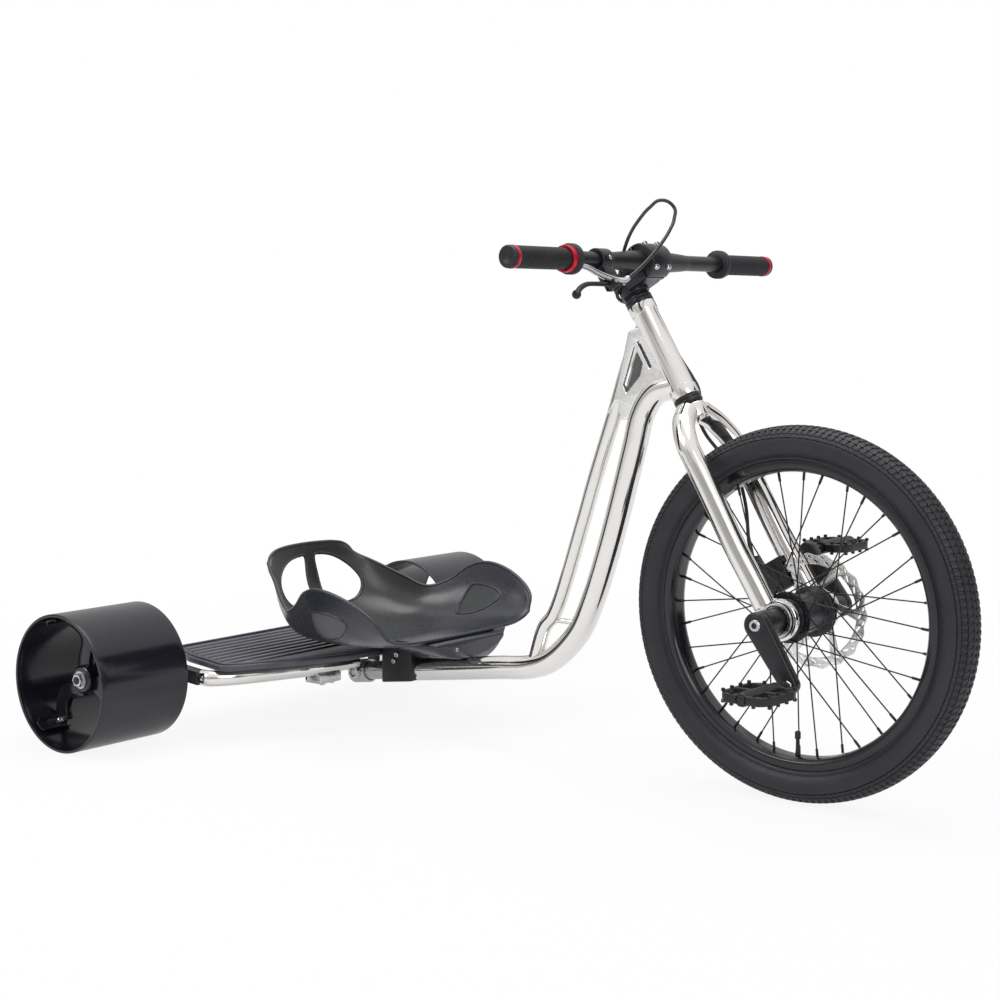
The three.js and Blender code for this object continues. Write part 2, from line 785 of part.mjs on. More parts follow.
function makeCable() {
  const route = [
    ...cableRoute,
    ...cableHeadShares.map(([forward, down, right]) => [forward, -down * forkTop, right]),
    ...cableLegShares.map(([forward, down, right]) => [
      forward,
      -forkTop - down * (leg.end - forkTop),
      right,
    ]),
    [cableStop.rear + cableStop.depth / 2, cableStop.up + running, -caliper.to + 1],
  ].map((place) => point(...place));
  const whole = bentTube(route, cable.radius, cable.sides, cable.steps);
  const room = rod(cableAt(-overrun), cableAt(adjuster.length + seat), adjuster.radius + seat);
  return piece("brake_cable", cut(whole, room), rubber);
}

// A place on the straight line of the cable's first stretch.
function cableAt(distance) {
  const [first, second] = cableRoute.slice(0, 2).map((place) => point(...place));
  return first.clone().addScaledVector(second.sub(first).normalize(), distance);
}

function makeAdjuster() {
  const barrel = rod(cableAt(0), cableAt(adjuster.length), adjuster.radius);
  const room = block(
    [stem.forward - overrun, pivotUp - overrun, perch.from - seat],
    [stem.forward + overrun, stem.up + overrun, perch.from + perch.width],
  );
  return piece("barrel_adjuster", cut(barrel, room), steel);
}

// Disc brake on the left leg: rotor, caliper body astride it, and the arm that the cable pulls
const rotor = { radius: 80, thickness: 1.8, from: 38.8, track: 15, inner: 24, arms: 6 };
const rotorWindowShares = [0.24, 0.5, 0.76]; // of the angle from one arm to the next
const caliper = { top: -404, bottom: -448, rear: -48, front: 4, from: 34.5, to: 61 };
const cableStop = { up: -384, rear: -60, depth: 12 };
const caliperArm = { pivotUp: -428, pivotForward: -34, reach: 34, thickness: 4, radius: 6, pin: 3 };
const armLean = THREE.MathUtils.degToRad(132);

function makeCaliper() {
  const body = block(
    [caliper.rear, caliper.bottom, -caliper.to],
    [caliper.front, caliper.top, -caliper.from],
  );
  const strap = block(
    [caliper.rear, caliper.top - caliperArm.thickness, -caliper.to],
    [caliper.rear + caliperArm.thickness, cableStop.up, -caliper.to + cableStop.depth],
  );
  const stop = block(
    [cableStop.rear, cableStop.up - caliperArm.thickness, -caliper.to - caliperArm.thickness],
    [caliper.rear + caliperArm.thickness, cableStop.up, -caliper.to + cableStop.depth],
  );
  const pin = rod(
    point(caliperArm.pivotForward, caliperArm.pivotUp, -caliper.to + caliperArm.pin),
    point(caliperArm.pivotForward, caliperArm.pivotUp, -caliper.to - seat - caliperArm.thickness),
    caliperArm.pin,
  );
  const slotHalf = rotor.thickness / 2 + 3 * seat;
  const slotMiddle = rotor.from + rotor.thickness / 2;
  const slotEnds = [slotMiddle - slotHalf, slotMiddle + slotHalf];
  const slot = ring(0, rotor.radius + 2 * running, ...slotEnds, frontSides)
    .rotateX(-Math.PI / 2)
    .translate(forkOffset, -axleDrop, 0);
  const whole = joined(body, strap, stop, pin);
  return piece("brake_caliper", cut(whole, slot, legGeometry(1, 2 * seat)), blackMetal);
}

function makeCaliperArm() {
  const face = -caliper.to - 2 * seat;
  const far = face - caliperArm.thickness;
  const pivot = (forward, up, right) =>
    point(caliperArm.pivotForward + forward, caliperArm.pivotUp + up, right);
  const tipForward = Math.cos(armLean) * caliperArm.reach;
  const tipUp = Math.sin(armLean) * caliperArm.reach;
  const hub = rod(pivot(0, 0, face), pivot(0, 0, far), caliperArm.radius + caliperArm.pin, smallSides);
  const tip = rod(pivot(tipForward, tipUp, face), pivot(tipForward, tipUp, far), caliperArm.radius);
  const web = new THREE.BoxGeometry(caliperArm.reach, 2 * caliperArm.radius, caliperArm.thickness)
    .rotateZ(armLean)
    .translate(...pivot(tipForward / 2, tipUp / 2, (face + far) / 2).toArray());
  const bore = boreRound(caliperArm.pin, seat, rodSides);
  const hole = rod(pivot(0, 0, face + overrun), pivot(0, 0, far - overrun), bore);
  return piece("caliper_arm", cut(joined(hub, web, tip), hole), steel);
}

// Front wheel, about its own axle
const tyre = { halfWidth: 28.5, wall: 4, bead: 204.4, beadHalf: 16 };
const rim = { inner: 194, edge: 211, halfWidth: 19, wall: 2.4, floor: 5 };
const rimInside = rim.inner * Math.cos(Math.PI / frontSides);
const tyreOuterShares = [
  [0.12, 0.57],
  [0.34, 0.9],
  [0.55, 1],
  [0.78, 0.88],
  [0.93, 0.6],
  [1, 0.28],
];
const hub = { flangeRadius: 35, flange: 33.3, flangeWidth: 4, waist: 29, half: 38.5 };
const spindle = { radius: 10, half: 116 };
const spoke = {
  radius: 1.3,
  perSide: 18,
  crossing: 3,
  sides: 3,
  rimOff: 5,
  hubOff: 36.2,
  foot: 30,
};
const valve = { radius: 3.2, length: 34, capLength: 11, capRadius: 4.3 };

function makeTyre() {
  const cornerRadius = frontRadius / Math.cos(Math.PI / frontSides);
  const depth = cornerRadius - tyre.bead;
  const outer = tyreOuterShares.map(([up, out]) => [
    tyre.bead + up * depth,
    out * tyre.halfWidth,
  ]);
  const inner = tyreOuterShares.filter((_, i) => i % 2 === 1).map(([up, out]) => [
    tyre.bead + up * (depth - tyre.wall),
    out * (tyre.halfWidth - tyre.wall),
  ]);
  const bead = [tyre.bead, tyre.beadHalf];
  const beadInner = [tyre.bead, tyre.beadHalf - tyre.wall];
  const half = [bead, ...outer];
  const insideHalf = [beadInner, ...inner];
  const mirrored = (list) => list.map(([radius, along]) => [radius, -along]).reverse();
  const inward = [...insideHalf, ...mirrored(insideHalf)].reverse();
  const profile = [...half, ...mirrored(half), ...inward];
  return piece("front_tyre", turned(profile, frontSides), rubber);
}

function makeRim() {
  const { inner, edge, halfWidth, wall, floor } = rim;
  const half = [
    [inner, halfWidth / 2],
    [inner + floor, halfWidth],
    [edge, halfWidth],
    [edge, halfWidth - wall],
    [inner + 2 * floor, halfWidth - wall],
  ];
  const other = half.map(([radius, along]) => [radius, -along]).reverse();
  return piece("front_rim", turned([...half, ...other], frontSides), blackMetal);
}

function makeSpokes(side) {
  const step = (2 * Math.PI) / spoke.perSide;
  const spot = (turn, radius, along) =>
    point(radius * Math.cos(turn), side * along, radius * Math.sin(turn));
  const rods = [];
  for (let i = 0; i < spoke.perSide; i += 1) {
    const lead = i % 2 === 0 ? spoke.crossing : -spoke.crossing;
    const foot = spot(i * step, spoke.foot, spoke.hubOff);
    const head = spot((i + lead) * step, rimInside - 3 * seat, spoke.rimOff);
    rods.push(rod(foot, head, spoke.radius, spoke.sides));
  }
  return piece(`spokes_${sideName(side)}`, joined(...rods), blackMetal);
}

function makeHubShell() {
  const inside = boreRound(spindle.radius, seat, ringSides);
  const half = [
    [hub.waist, 0],
    [hub.waist, hub.flange - hub.flangeWidth],
    [hub.flangeRadius, hub.flange - hub.flangeWidth],
    [hub.flangeRadius, hub.flange],
    [rotor.inner - seat, hub.flange],
    [rotor.inner - seat, hub.half],
    [inside, hub.half],
  ];
  const other = half.slice(1).map(([radius, along]) => [radius, -along]).reverse();
  return piece("hub_shell", turned([...half, ...other], ringSides), blackMetal);
}

function makeRotor() {
  const faces = [rotor.from, rotor.from + rotor.thickness];
  const disc = ring(spindle.radius + 3 * running, rotor.radius, ...faces, frontSides);
  const step = (2 * Math.PI) / rotor.arms;
  const rings = [rotor.radius - rotor.track, hub.flangeRadius + rotor.thickness];
  const windows = Array.from({ length: rotor.arms }, (_, i) => {
    const turns = rotorWindowShares.map((share) => (i + share) * step);
    const [outside, inside] = rings.map((radius) =>
      turns.map((turn) => [radius * Math.cos(turn), radius * Math.sin(turn)]),
    );
    return sidePlate([...outside, ...inside.reverse()], faces[0] - overrun, faces[1] + overrun);
  });
  return piece("brake_rotor", cut(disc, ...windows), steel);
}

function makeValve() {
  const from = rimInside - valve.length;
  const stemRod = rod(point(0, 0, seat - rimInside), point(0, 0, -from), valve.radius);
  const cap = rod(point(0, 0, -from - valve.capLength), point(0, 0, -from), valve.capRadius);
  return piece("valve_stem", joined(stemRod, cap), rubber);
}

// Cranks and pedals, about the front axle
const crankAngle = THREE.MathUtils.degToRad(-55.6);
const crank = { length: 88.5, from: 100, to: 117, boss: 17.5, eye: 13, halfRoot: 15, halfEnd: 9.75 };
const pedalAxle = { radius: 5, to: 224 };
const pedal = { length: 76, width: 88, height: 18, bar: 9, barrel: 9.5, from: 142 };
const crankEnd = (side) => [
  -side * crank.length * Math.cos(crankAngle),
  -side * crank.length * Math.sin(crankAngle),
];

function makeCrank(side) {
  const [endX, endZ] = crankEnd(side);
  const turn = Math.atan2(endZ, endX);
  const outline = [
    [0, crank.halfRoot],
    [0, -crank.halfRoot],
    [crank.length, -crank.halfEnd],
    [crank.length, crank.halfEnd],
  ].map(([along, over]) => [
    along * Math.cos(turn) - over * Math.sin(turn),
    along * Math.sin(turn) + over * Math.cos(turn),
  ]);
  const span = side < 0 ? [-crank.to, -crank.from] : [crank.from, crank.to];
  const bossFrom = dropout.to + seat + dropout.cap + running;
  const inside = boreRound(spindle.radius, seat, ringSides);
  const boss = ring(inside, crank.boss, side * bossFrom, side * crank.to, ringSides);
  const atEnd = (out) => point(endX, out, endZ);
  const eye = rod(atEnd(span[0]), atEnd(span[1]), crank.eye, smallSides);
  const axle = rod(atEnd(side * crank.from), atEnd(side * pedalAxle.to), pedalAxle.radius);
  const hole = ring(0, inside, -spindle.half * 2, spindle.half * 2, ringSides);
  const whole = joined(sidePlate(outline, ...span), boss, eye, axle);
  return piece(`crank_${sideName(side)}`, cut(whole, hole), blackMetal);
}

function makeSpindle() {
  const whole = ring(0, spindle.radius, -spindle.half, spindle.half, ringSides);
  return piece("crank_spindle", whole, steel);
}

function makePedal(side) {
  const [endX, endZ] = crankEnd(side);
  const { length, width, height, bar: frameBar, barrel, from } = pedal;
  const low = [-length / 2, from, -height / 2];
  const high = [length / 2, from + width, height / 2];
  const open = length / 2 - frameBar - barrel;
  const windows = [frameBar - length / 2, barrel].map((rear) =>
    block(
      [rear, from + frameBar, -height],
      [rear + open, from + width - frameBar, height],
    ),
  );
  const core = rod(point(0, from, 0), point(0, from + width, 0), barrel, smallSides);
  const bore = boreRound(pedalAxle.radius, seat, rodSides);
  const hole = rod(point(0, from - overrun, 0), point(0, from + width + overrun, 0), bore);
  const whole = cut(joined(cut(block(low, high), ...windows), core), hole);
  const mesh = piece(`pedal_${sideName(side)}`, whole, blackPlastic);
  if (side < 0) mesh.rotation.z = Math.PI;
  mesh.position.set(endX, 0, endZ);
  return mesh;
}

// Sliding rear frame: tube, collar, swept rails, axle arms and footboard
const collar = { rear: 80, front: 46, radius: 19.5 };
const collarBoss = { radius: 11.5, bore: 6.5, to: 25, floor: 20.2, bolt: 5.5, head: 3.5 };
const rail = { radius: 12.5, height: 98, endX: 100, endY: 272, steps: 16 };
const railPathShares = [
  [0.87, 0.08],
  [0.83, 0.2],
  [0.78, 0.42],
  [0.63, 0.6],
  [0.46, 0.79],
  [0.27, 0.94],
  [0.12, 1],
  [0, 1],
];
const rearHub = { radius: 22, from: 395, to: 430, arms: 3, armHalf: 15, armFrom: 408, armTo: 420 };
const armsTurn = THREE.MathUtils.degToRad(10);
const rearAxle = { radius: 6, spacer: 10, to: 440, nut: 11, nutWidth: 7.5 };
const arm = { from: 266, to: 286, half: 11 };
const sleeve = { halfWidth: 82.5, wall: 4 };

function makeSlideTube() {
  const inner = slideTube.radius - slideTube.wall;
  const whole = rod(slideAt(-slideTube.outside), slideAt(slideTube.inside), slideTube.radius, tubeSides);
  const ends = [-slideTube.outside - overrun, slideTube.inside + overrun].map(slideAt);
  const bore = rod(...ends, inner, tubeSides);
  return piece("slide_tube", cut(whole, bore), steel);
}

const collarMiddle = slideAt(-(collar.rear + collar.front) / 2);
const collarAt = (out) => collarMiddle.clone().setY(-out);

// The collar round the slide tube, with a round boss on its near side for the bolt.
function makeCollar() {
  const body = rod(slideAt(-collar.rear), slideAt(-collar.front), collar.radius, smallSides);
  const boss = rod(collarAt(0), collarAt(collarBoss.to), collarBoss.radius, smallSides);
  const inside = boreRound(slideTube.radius, seat, tubeSides);
  const bore = rod(slideAt(-slideTube.outside - overrun), slideAt(0), inside, tubeSides);
  const ends = [collarBoss.floor, collarBoss.to + overrun].map(collarAt);
  const pocket = rod(...ends, collarBoss.bore, smallSides);
  return piece("clamp_collar", cut(joined(body, boss), bore, pocket), steel);
}

function makeCollarBolt() {
  const from = collarBoss.floor + seat;
  const ends = [from, from + collarBoss.head].map(collarAt);
  return piece("collar_bolt", rod(...ends, collarBoss.bolt, hexSides), steel);
}

function railPath(side) {
  const reach = mainTube.rearX - collar.front - rail.endX;
  return railPathShares.map(([forward, out]) =>
    point(rail.endX + forward * reach, side * out * rail.endY, rail.height),
  );
}

function makeRail(side) {
  const whole = bentTube(railPath(side), rail.radius, smallSides, rail.steps);
  const reach = collar.radius + 2 * seat;
  const room = rod(slideAt(-collar.rear - overrun), slideAt(0), reach, smallSides);
  const ends = [0, collarBoss.to + seat].map(collarAt);
  const boss = rod(...ends, collarBoss.radius + 2 * seat, smallSides);
  return piece(`rail_${sideName(side)}`, cut(whole, room, boss), chrome);
}

function makeAxleArm(side) {
  const tipShares = [0, 0.25, 0.5, 0.75, 1];
  const outline = [
    [rail.endX - seat, rail.height - arm.half],
    [rail.endX - seat, rail.height + arm.half],
    ...tipShares.map((share) => {
      const turn = Math.PI / 2 + share * Math.PI;
      return [arm.half * Math.cos(turn), rearRadius + arm.half * Math.sin(turn)];
    }),
  ];
  const web = sidePlate(outline, side < 0 ? -arm.to : arm.from, side < 0 ? -arm.from : arm.to);
  const profile = [
    [0, arm.from + seat],
    [rearAxle.spacer, arm.from + seat],
    [rearAxle.spacer, rearHub.from - running],
    [rearAxle.radius, rearHub.from - running],
    [rearAxle.radius, rearAxle.to],
    [0, rearAxle.to],
  ].map(([radius, along]) => [radius, side * along]);
  const axle = turned(profile, smallSides).translate(0, 0, rearRadius);
  return piece(`axle_arm_${sideName(side)}`, joined(web, axle), blackMetal);
}

function makeAxleNut(side) {
  const from = rearHub.to + running;
  const inside = boreRound(rearAxle.radius, seat, smallSides);
  const to = from + rearAxle.nutWidth;
  const body = ring(0, rearAxle.nut, side * from, side * to, hexSides);
  const nut = cut(body, ring(0, inside, -rearTrack, rearTrack, smallSides));
  const mesh = piece(`axle_nut_${sideName(side)}`, nut, steel);
  mesh.position.z = rearRadius;
  return mesh;
}

// Footboard on the rails, with ridges across it and a clamp to each rail
const board = { rear: -36, length: 272, halfWidth: 272, thickness: 9.7, ridge: 3.5, ridges: 9 };
const ridgeShares = { width: 0.55, field: 2 / 3 }; // of their pitch, and of the board's length
const boardBottom = rail.height + rail.radius + running;
const boardShares = [
  [0, 0.79],
  [0.28, 0.92],
  [0.48, 0.963],
  [0.63, 1],
  [0.69, 0.96],
  [0.87, 0.58],
  [0.97, 0.29],
  [1, 0],
];
const deckClamp = { halfLength: 17.5, halfWidth: 24, behind: 7, drop: 13.5, tongue: 6 };
const deckClampShare = 0.214; // of the rail's path, from the collar

function boardOutline() {
  const half = boardShares.map(([along, out]) => [
    board.rear + along * board.length,
    -out * board.halfWidth,
  ]);
  const other = half.slice(0, -1).map(([x, y]) => [x, -y]).reverse();
  return [...half, ...other];
}

function makeBoard() {
  const top = boardBottom + board.thickness;
  const peak = top + board.ridge;
  const pitch = (board.length * ridgeShares.field) / board.ridges;
  const bars = Array.from({ length: board.ridges }, (_, i) => {
    const from = board.rear + pitch * (i + ridgeShares.width);
    const to = from + ridgeShares.width * pitch;
    return block([from, -board.halfWidth, boardBottom], [to, board.halfWidth, peak]);
  });
  const raised = common(joined(...bars), flatPlate(boardOutline(), boardBottom, peak));
  const plate = flatPlate(boardOutline(), boardBottom, top);
  return piece("footboard", joined(plate, raised), blackPlastic);
}

// A clamp under the rail, with a tongue behind the rail up to the board.
function makeDeckClamp(side) {
  const { halfLength, halfWidth, behind, drop, tongue } = deckClamp;
  const middle = smooth(railPath(side)).getPoint(deckClampShare);
  const rear = middle.x - behind - halfLength;
  const bottom = rail.height - rail.radius - drop;
  const body = block(
    [rear, middle.y - halfWidth, bottom],
    [rear + 2 * halfLength, middle.y + halfWidth, rail.height - rail.radius],
  );
  const plate = block(
    [rear, middle.y - halfWidth, bottom],
    [rear + tongue, middle.y + halfWidth, boardBottom - seat],
  );
  const room = bentTube(railPath(side), rail.radius + 2 * seat, smallSides, rail.steps);
  return piece(`deck_clamp_${sideName(side)}`, cut(joined(body, plate), room), steel);
}

// Rear wheels: a plastic sleeve round a three-armed hub
function makeSleeve(side) {
  const corner = rearRadius / Math.cos(Math.PI / rearSides);
  const middle = (side * rearTrack) / 2;
  const ends = [middle - sleeve.halfWidth, middle + sleeve.halfWidth];
  const shell = ring(corner - sleeve.wall, corner, ...ends, rearSides);
  return piece(`sleeve_${sideName(side)}`, shell, blackPlastic);
}

function makeRearHub(side) {
  const inside = boreRound(rearAxle.radius, seat, ringSides);
  const boss = ring(0, rearHub.radius, side * rearHub.from, side * rearHub.to, ringSides);
  const reach = rearRadius - sleeve.wall - seat;
  const faces = [side * rearHub.armFrom, side * rearHub.armTo];
  const arms = Array.from({ length: rearHub.arms }, (_, i) =>
    block(
      [0, Math.min(...faces), -rearHub.armHalf],
      [reach, Math.max(...faces), rearHub.armHalf],
    ).rotateY((2 * Math.PI * i) / rearHub.arms + armsTurn),
  );
  const round = ring(0, reach, -rearTrack, rearTrack, rearSides);
  const hole = ring(0, inside, -rearTrack, rearTrack, ringSides);
  const whole = common(joined(boss, ...arms), round);
  return piece(`rear_hub_${sideName(side)}`, cut(whole, hole), blackPlastic);
}

// Assembly: fixed frame, steered group, wheel groups and rear frame
const sides = [-1, 1];
const trike = new THREE.Group();
trike.position.x = -(wheelbase + frontRadius - rearRadius) / 2;

const frame = new THREE.Group();
frame.add(makeMainTube(), makeTopTube(), makeGusset(), makeSeat(), makePedestal());
frame.add(makeBracket(), ...makeBracketBolts());

const headSet = new THREE.Group();
headFrame.decompose(headSet.position, headSet.quaternion, headSet.scale);
headSet.add(makeHeadTube());
headSet.add(makeCup("headset_upper_cup", false), makeCup("headset_lower_cup", true));
headSet.add(makeSteerer(), makeSpacer(), makeTopCap(), makeStem(), makeFaceplate(), makeBar());
headSet.add(makePerch(), makeBlade(), makeAdjuster(), makeCable(), makeCaliper(), makeCaliperArm());
sides.forEach((side) => {
  headSet.add(makeLeg(side), makeDropoutCap(side), makeGrip(side), makeLockRing(side));
});

const frontWheel = new THREE.Group();
frontWheel.position.set(wheelbase, 0, frontRadius);
frontWheel.add(makeTyre(), makeRim(), makeHubShell(), makeRotor(), makeValve(), makeSpindle());
sides.forEach((side) => frontWheel.add(makeSpokes(side), makeCrank(side), makePedal(side)));

const rearFrame = new THREE.Group();
rearFrame.add(makeSlideTube(), makeCollar(), makeCollarBolt(), makeBoard());
sides.forEach((side) => {
  rearFrame.add(makeRail(side), makeAxleArm(side), makeAxleNut(side), makeDeckClamp(side));
});

const rearWheels = new THREE.Group();
rearWheels.position.z = rearRadius;
sides.forEach((side) => rearWheels.add(makeSleeve(side), makeRearHub(side)));

trike.add(frame, headSet, frontWheel, rearFrame, rearWheels);

export default trike;
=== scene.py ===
"""A drift trike: chrome frame and fork, bucket seat, 20-inch front wheel and two plastic rear
sleeves. Lengths below are in millimetres, with X forward from the rear axle, Y to the rider's
left and Z up; piece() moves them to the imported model's frame and to metres."""
import json
import math

import bmesh
import bpy
from mathutils import Matrix, Vector
from mathutils.bvhtree import BVHTree


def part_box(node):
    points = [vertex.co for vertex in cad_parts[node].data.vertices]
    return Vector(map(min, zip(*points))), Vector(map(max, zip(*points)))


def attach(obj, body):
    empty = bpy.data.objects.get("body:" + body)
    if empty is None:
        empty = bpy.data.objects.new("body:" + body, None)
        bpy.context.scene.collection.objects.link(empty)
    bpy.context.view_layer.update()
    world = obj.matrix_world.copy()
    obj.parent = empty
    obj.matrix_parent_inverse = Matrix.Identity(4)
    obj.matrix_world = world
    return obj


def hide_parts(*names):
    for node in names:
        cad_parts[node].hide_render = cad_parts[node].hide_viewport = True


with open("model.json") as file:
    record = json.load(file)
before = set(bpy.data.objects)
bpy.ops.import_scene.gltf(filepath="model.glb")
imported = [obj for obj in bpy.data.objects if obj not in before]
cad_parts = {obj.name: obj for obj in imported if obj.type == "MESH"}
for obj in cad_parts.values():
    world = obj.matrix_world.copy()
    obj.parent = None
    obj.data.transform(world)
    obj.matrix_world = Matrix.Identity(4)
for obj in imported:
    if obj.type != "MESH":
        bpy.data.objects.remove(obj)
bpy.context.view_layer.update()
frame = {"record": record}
scene = bpy.context.scene
record = frame["record"]
BODY = {n: body for body, nodes in record["behaviour"]["bodies"].items() for n in nodes}
SLOT = {part["node"]: part["material_slot"] for part in record["subparts"]}

MM = 0.001
MIDDLE = 575.5  # from the rear axle to the middle of the trike
WHEELBASE = 1000.0
FRONT_RADIUS = 257.0
REAR_RADIUS = 106.0
REAR_TRACK = 779.5
HEAD_ANGLE = math.radians(31.5)
AXLE_DROP = 494.0
FORK_OFFSET = 8.2
HEAD_LENGTH = 151.0
CUP_HEIGHT = 13.5
TO_METRES = Matrix.Scale(MM, 4) @ Matrix.Translation((-MIDDLE, 0, 0))

UP = Vector((-math.sin(HEAD_ANGLE), 0, math.cos(HEAD_ANGLE)))
FORWARD = Vector((math.cos(HEAD_ANGLE), 0, math.sin(HEAD_ANGLE)))
RIGHT = Vector((0, -1, 0))
AXLE = Vector((WHEELBASE, 0, FRONT_RADIUS))
HEAD_TOP = AXLE + UP * AXLE_DROP - FORWARD * FORK_OFFSET
# The steering frame: X forward across the axis, Y up along it, Z to the right.
HEAD = Matrix.Translation(HEAD_TOP) @ Matrix((FORWARD, UP, RIGHT)).transposed().to_4x4()
BAR_FORWARD, BAR_UP = 41.6, 46.0
# About the handlebar: Y to the right along the bar.
BAR = HEAD @ Matrix.Translation((BAR_FORWARD, BAR_UP, 0)) @ Matrix.Rotation(math.pi / 2, 4, "X")
WHEEL = Matrix.Translation(AXLE)


# Camera and cord
def evenly(line, count):
    """Places at even distances along a line of points, and the line's length."""
    lengths = [0.0]
    for first, second in zip(line, line[1:]):
        lengths.append(lengths[-1] + (second - first).length)
    out, j = [], 0
    for i in range(count):
        goal = lengths[-1] * i / (count - 1)
        while j < len(lengths) - 2 and lengths[j + 1] < goal:
            j += 1
        span = lengths[j + 1] - lengths[j]
        out.append(line[j].lerp(line[j + 1], (goal - lengths[j]) / span if span else 0))
    return out, lengths[-1]


def catmull(points, count, steps=24):
    """A centripetal curve through the points, sampled evenly along its length."""
    points = [Vector(p) for p in points]
    padded = [2 * points[0] - points[1], *points, 2 * points[-1] - points[-2]]
    dense = []
    for p0, p1, p2, p3 in zip(padded, padded[1:], padded[2:], padded[3:]):
        t0, t1, t2 = (max((b - a).length, 1e-4) ** 0.5 for a, b in ((p0, p1), (p1, p2), (p2, p3)))
        m1 = ((p1 - p0) / t0 - (p2 - p0) / (t0 + t1) + (p2 - p1) / t1) * t1
        m2 = ((p2 - p1) / t1 - (p3 - p1) / (t1 + t2) + (p3 - p2) / t2) * t1
        for k in range(steps):
            t = k / steps
            a, b = 2 * t**3 - 3 * t**2 + 1, t**3 - 2 * t**2 + t
            c, d = -2 * t**3 + 3 * t**2, t**3 - t**2
            dense.append(p1 * a + m1 * b + p2 * c + m2 * d)
    return evenly([*dense, points[-1]], count)[0]


CAMERA_PLACE = (1.6474, -2.1342, 0.6605)
CAMERA_AZIMUTH, CAMERA_TILT = math.radians(39.31), math.radians(5.83)
CAMERA_LENS, CAMERA_SENSOR = 65.29, 36


def add_camera():
    direction = Vector((
        -math.sin(CAMERA_AZIMUTH) * math.cos(CAMERA_TILT),
        math.cos(CAMERA_AZIMUTH) * math.cos(CAMERA_TILT),
        -math.sin(CAMERA_TILT),
    ))
    data = bpy.data.cameras.new("camera")
    data.lens = CAMERA_LENS
    data.sensor_width = CAMERA_SENSOR
    camera = bpy.data.objects.new("camera", data)
    camera.location = CAMERA_PLACE
    camera.rotation_euler = direction.to_track_quat("-Z", "Y").to_euler()
    scene.collection.objects.link(camera)
    scene.camera = camera


# Finishes
def feed(tree, target, inputs):
    """Gives each input, by its name or number, a value or another node's output."""
    for name, value in inputs.items():
        if isinstance(value, bpy.types.NodeSocket):
            tree.links.new(value, target.inputs[name])
        else:
            target.inputs[name].default_value = value


def add_node(tree, kind, inputs=None, **settings):
    node = tree.nodes.new("ShaderNode" + kind)
    for name, value in settings.items():
        setattr(node, name, value)
    feed(tree, node, inputs or {})
    return node


def ramp(tree, share, places, colours):
    """A colour that runs from one to another as the share goes from place to place."""
    node = add_node(tree, "ValToRGB", {"Fac": share})
    for stop, place, colour in zip(node.color_ramp.elements, places, colours):
        stop.position = place
        stop.color = (*colour, 1)
    return node.outputs["Color"]


def new_material(name):
    material = bpy.data.materials.new(name)
    material.use_nodes = True
    return material, material.node_tree


def finish(name, colour, rough, metal, spread, mottle, bump, grain, specular=0.5, waves=0.0):
    """A procedural finish: roughness and colour that vary, and a fine bump of its own grain."""
    material, tree = new_material(name)
    place = add_node(tree, "TexCoord").outputs["Object"]

    def noise(scale, detail):
        node = add_node(tree, "TexNoise", {"Vector": place, "Scale": scale, "Detail": detail})
        return node.outputs["Fac"]

    def bumps(inputs, strength, distance):
        feeds = {"Strength": strength, "Distance": distance, **inputs}
        return add_node(tree, "Bump", feeds).outputs["Normal"]

    middle = (0.3, 0.7)
    tones = [[min(c * share, 1) for c in colour] for share in (1 - mottle, 1 + mottle)]
    varied = add_node(tree, "MapRange", {
        "Value": noise(grain * 0.3, 4), "From Min": middle[0], "From Max": middle[1],
        "To Min": max(rough - spread, 0.01), "To Max": rough + spread,
    })
    relief = {"Height": noise(grain, 5)}
    if waves:
        relief["Normal"] = bumps({"Height": noise(18, 1)}, waves, 0.002)
    feed(tree, tree.nodes["Principled BSDF"], {
        "Base Color": ramp(tree, noise(22, 3), middle, tones),
        "Roughness": varied.outputs["Result"],
        "Metallic": metal,
        "Specular IOR Level": specular,
        "Normal": bumps(relief, bump, 0.0005),
    })
    return material


# By slot: a name, the colour, roughness, metal, the roughness's spread, how mottled the colour
# is, the bump's strength and grain, the specular level and the strength of broad waves.
LOOKS = {
    "chrome_tube": ("chrome plating", (0.8, 0.78, 0.75), 0.11, 1, 0.03, 0.02, 0.012, 700, 0.5, 0.04),
    "seat_plastic": ("satin moulded plastic", (0.03, 0.031, 0.033), 0.27, 0, 0.05, 0.14, 0.14, 1400,
                     0.55),
    "black_steel": ("black powder coat", (0.012, 0.012, 0.014), 0.34, 0, 0.06, 0.2, 0.12, 1100, 0.4),
    "bare_steel": ("zinc plating", (0.55, 0.55, 0.56), 0.24, 1, 0.1, 0.14, 0.08, 800),
    "black_alloy": ("black anodising", (0.014, 0.014, 0.017), 0.3, 0.2, 0.05, 0.2, 0.06, 1300, 0.45),
    "red_alloy": ("red anodising", (0.62, 0.012, 0.035), 0.3, 0.45, 0.05, 0.12, 0.05, 1200),
    "grip_rubber": ("grip rubber", (0.013, 0.013, 0.016), 0.5, 0, 0.06, 0.2, 0.25, 1500, 0.4),
    "cable_sheath": ("cable sheath", (0.009, 0.009, 0.01), 0.28, 0, 0.04, 0.2, 0.05, 900),
    "tyre_rubber": ("tyre rubber", (0.019, 0.017, 0.021), 0.5, 0, 0.06, 0.2, 0.2, 1100, 0.4),
    "pedal_plastic": ("moulded nylon", (0.012, 0.012, 0.013), 0.42, 0, 0.06, 0.2, 0.2, 1300, 0.4),
    "board_plastic": ("ridged satin plastic", (0.075, 0.07, 0.086), 0.36, 0, 0.05, 0.16, 0.15, 1200,
                      0.5),
    "sleeve_plastic": ("polished hard plastic", (0.009, 0.0085, 0.014), 0.17, 0, 0.03, 0.2, 0.03, 500,
                       0.5, 0.03),
}
FINISH = {slot: finish(*look) for slot, look in LOOKS.items()}
GUSSET_FACE = finish("brushed plating", (0.9, 0.89, 0.875), 0.3, 1, 0.05, 0.03, 0.03, 900)
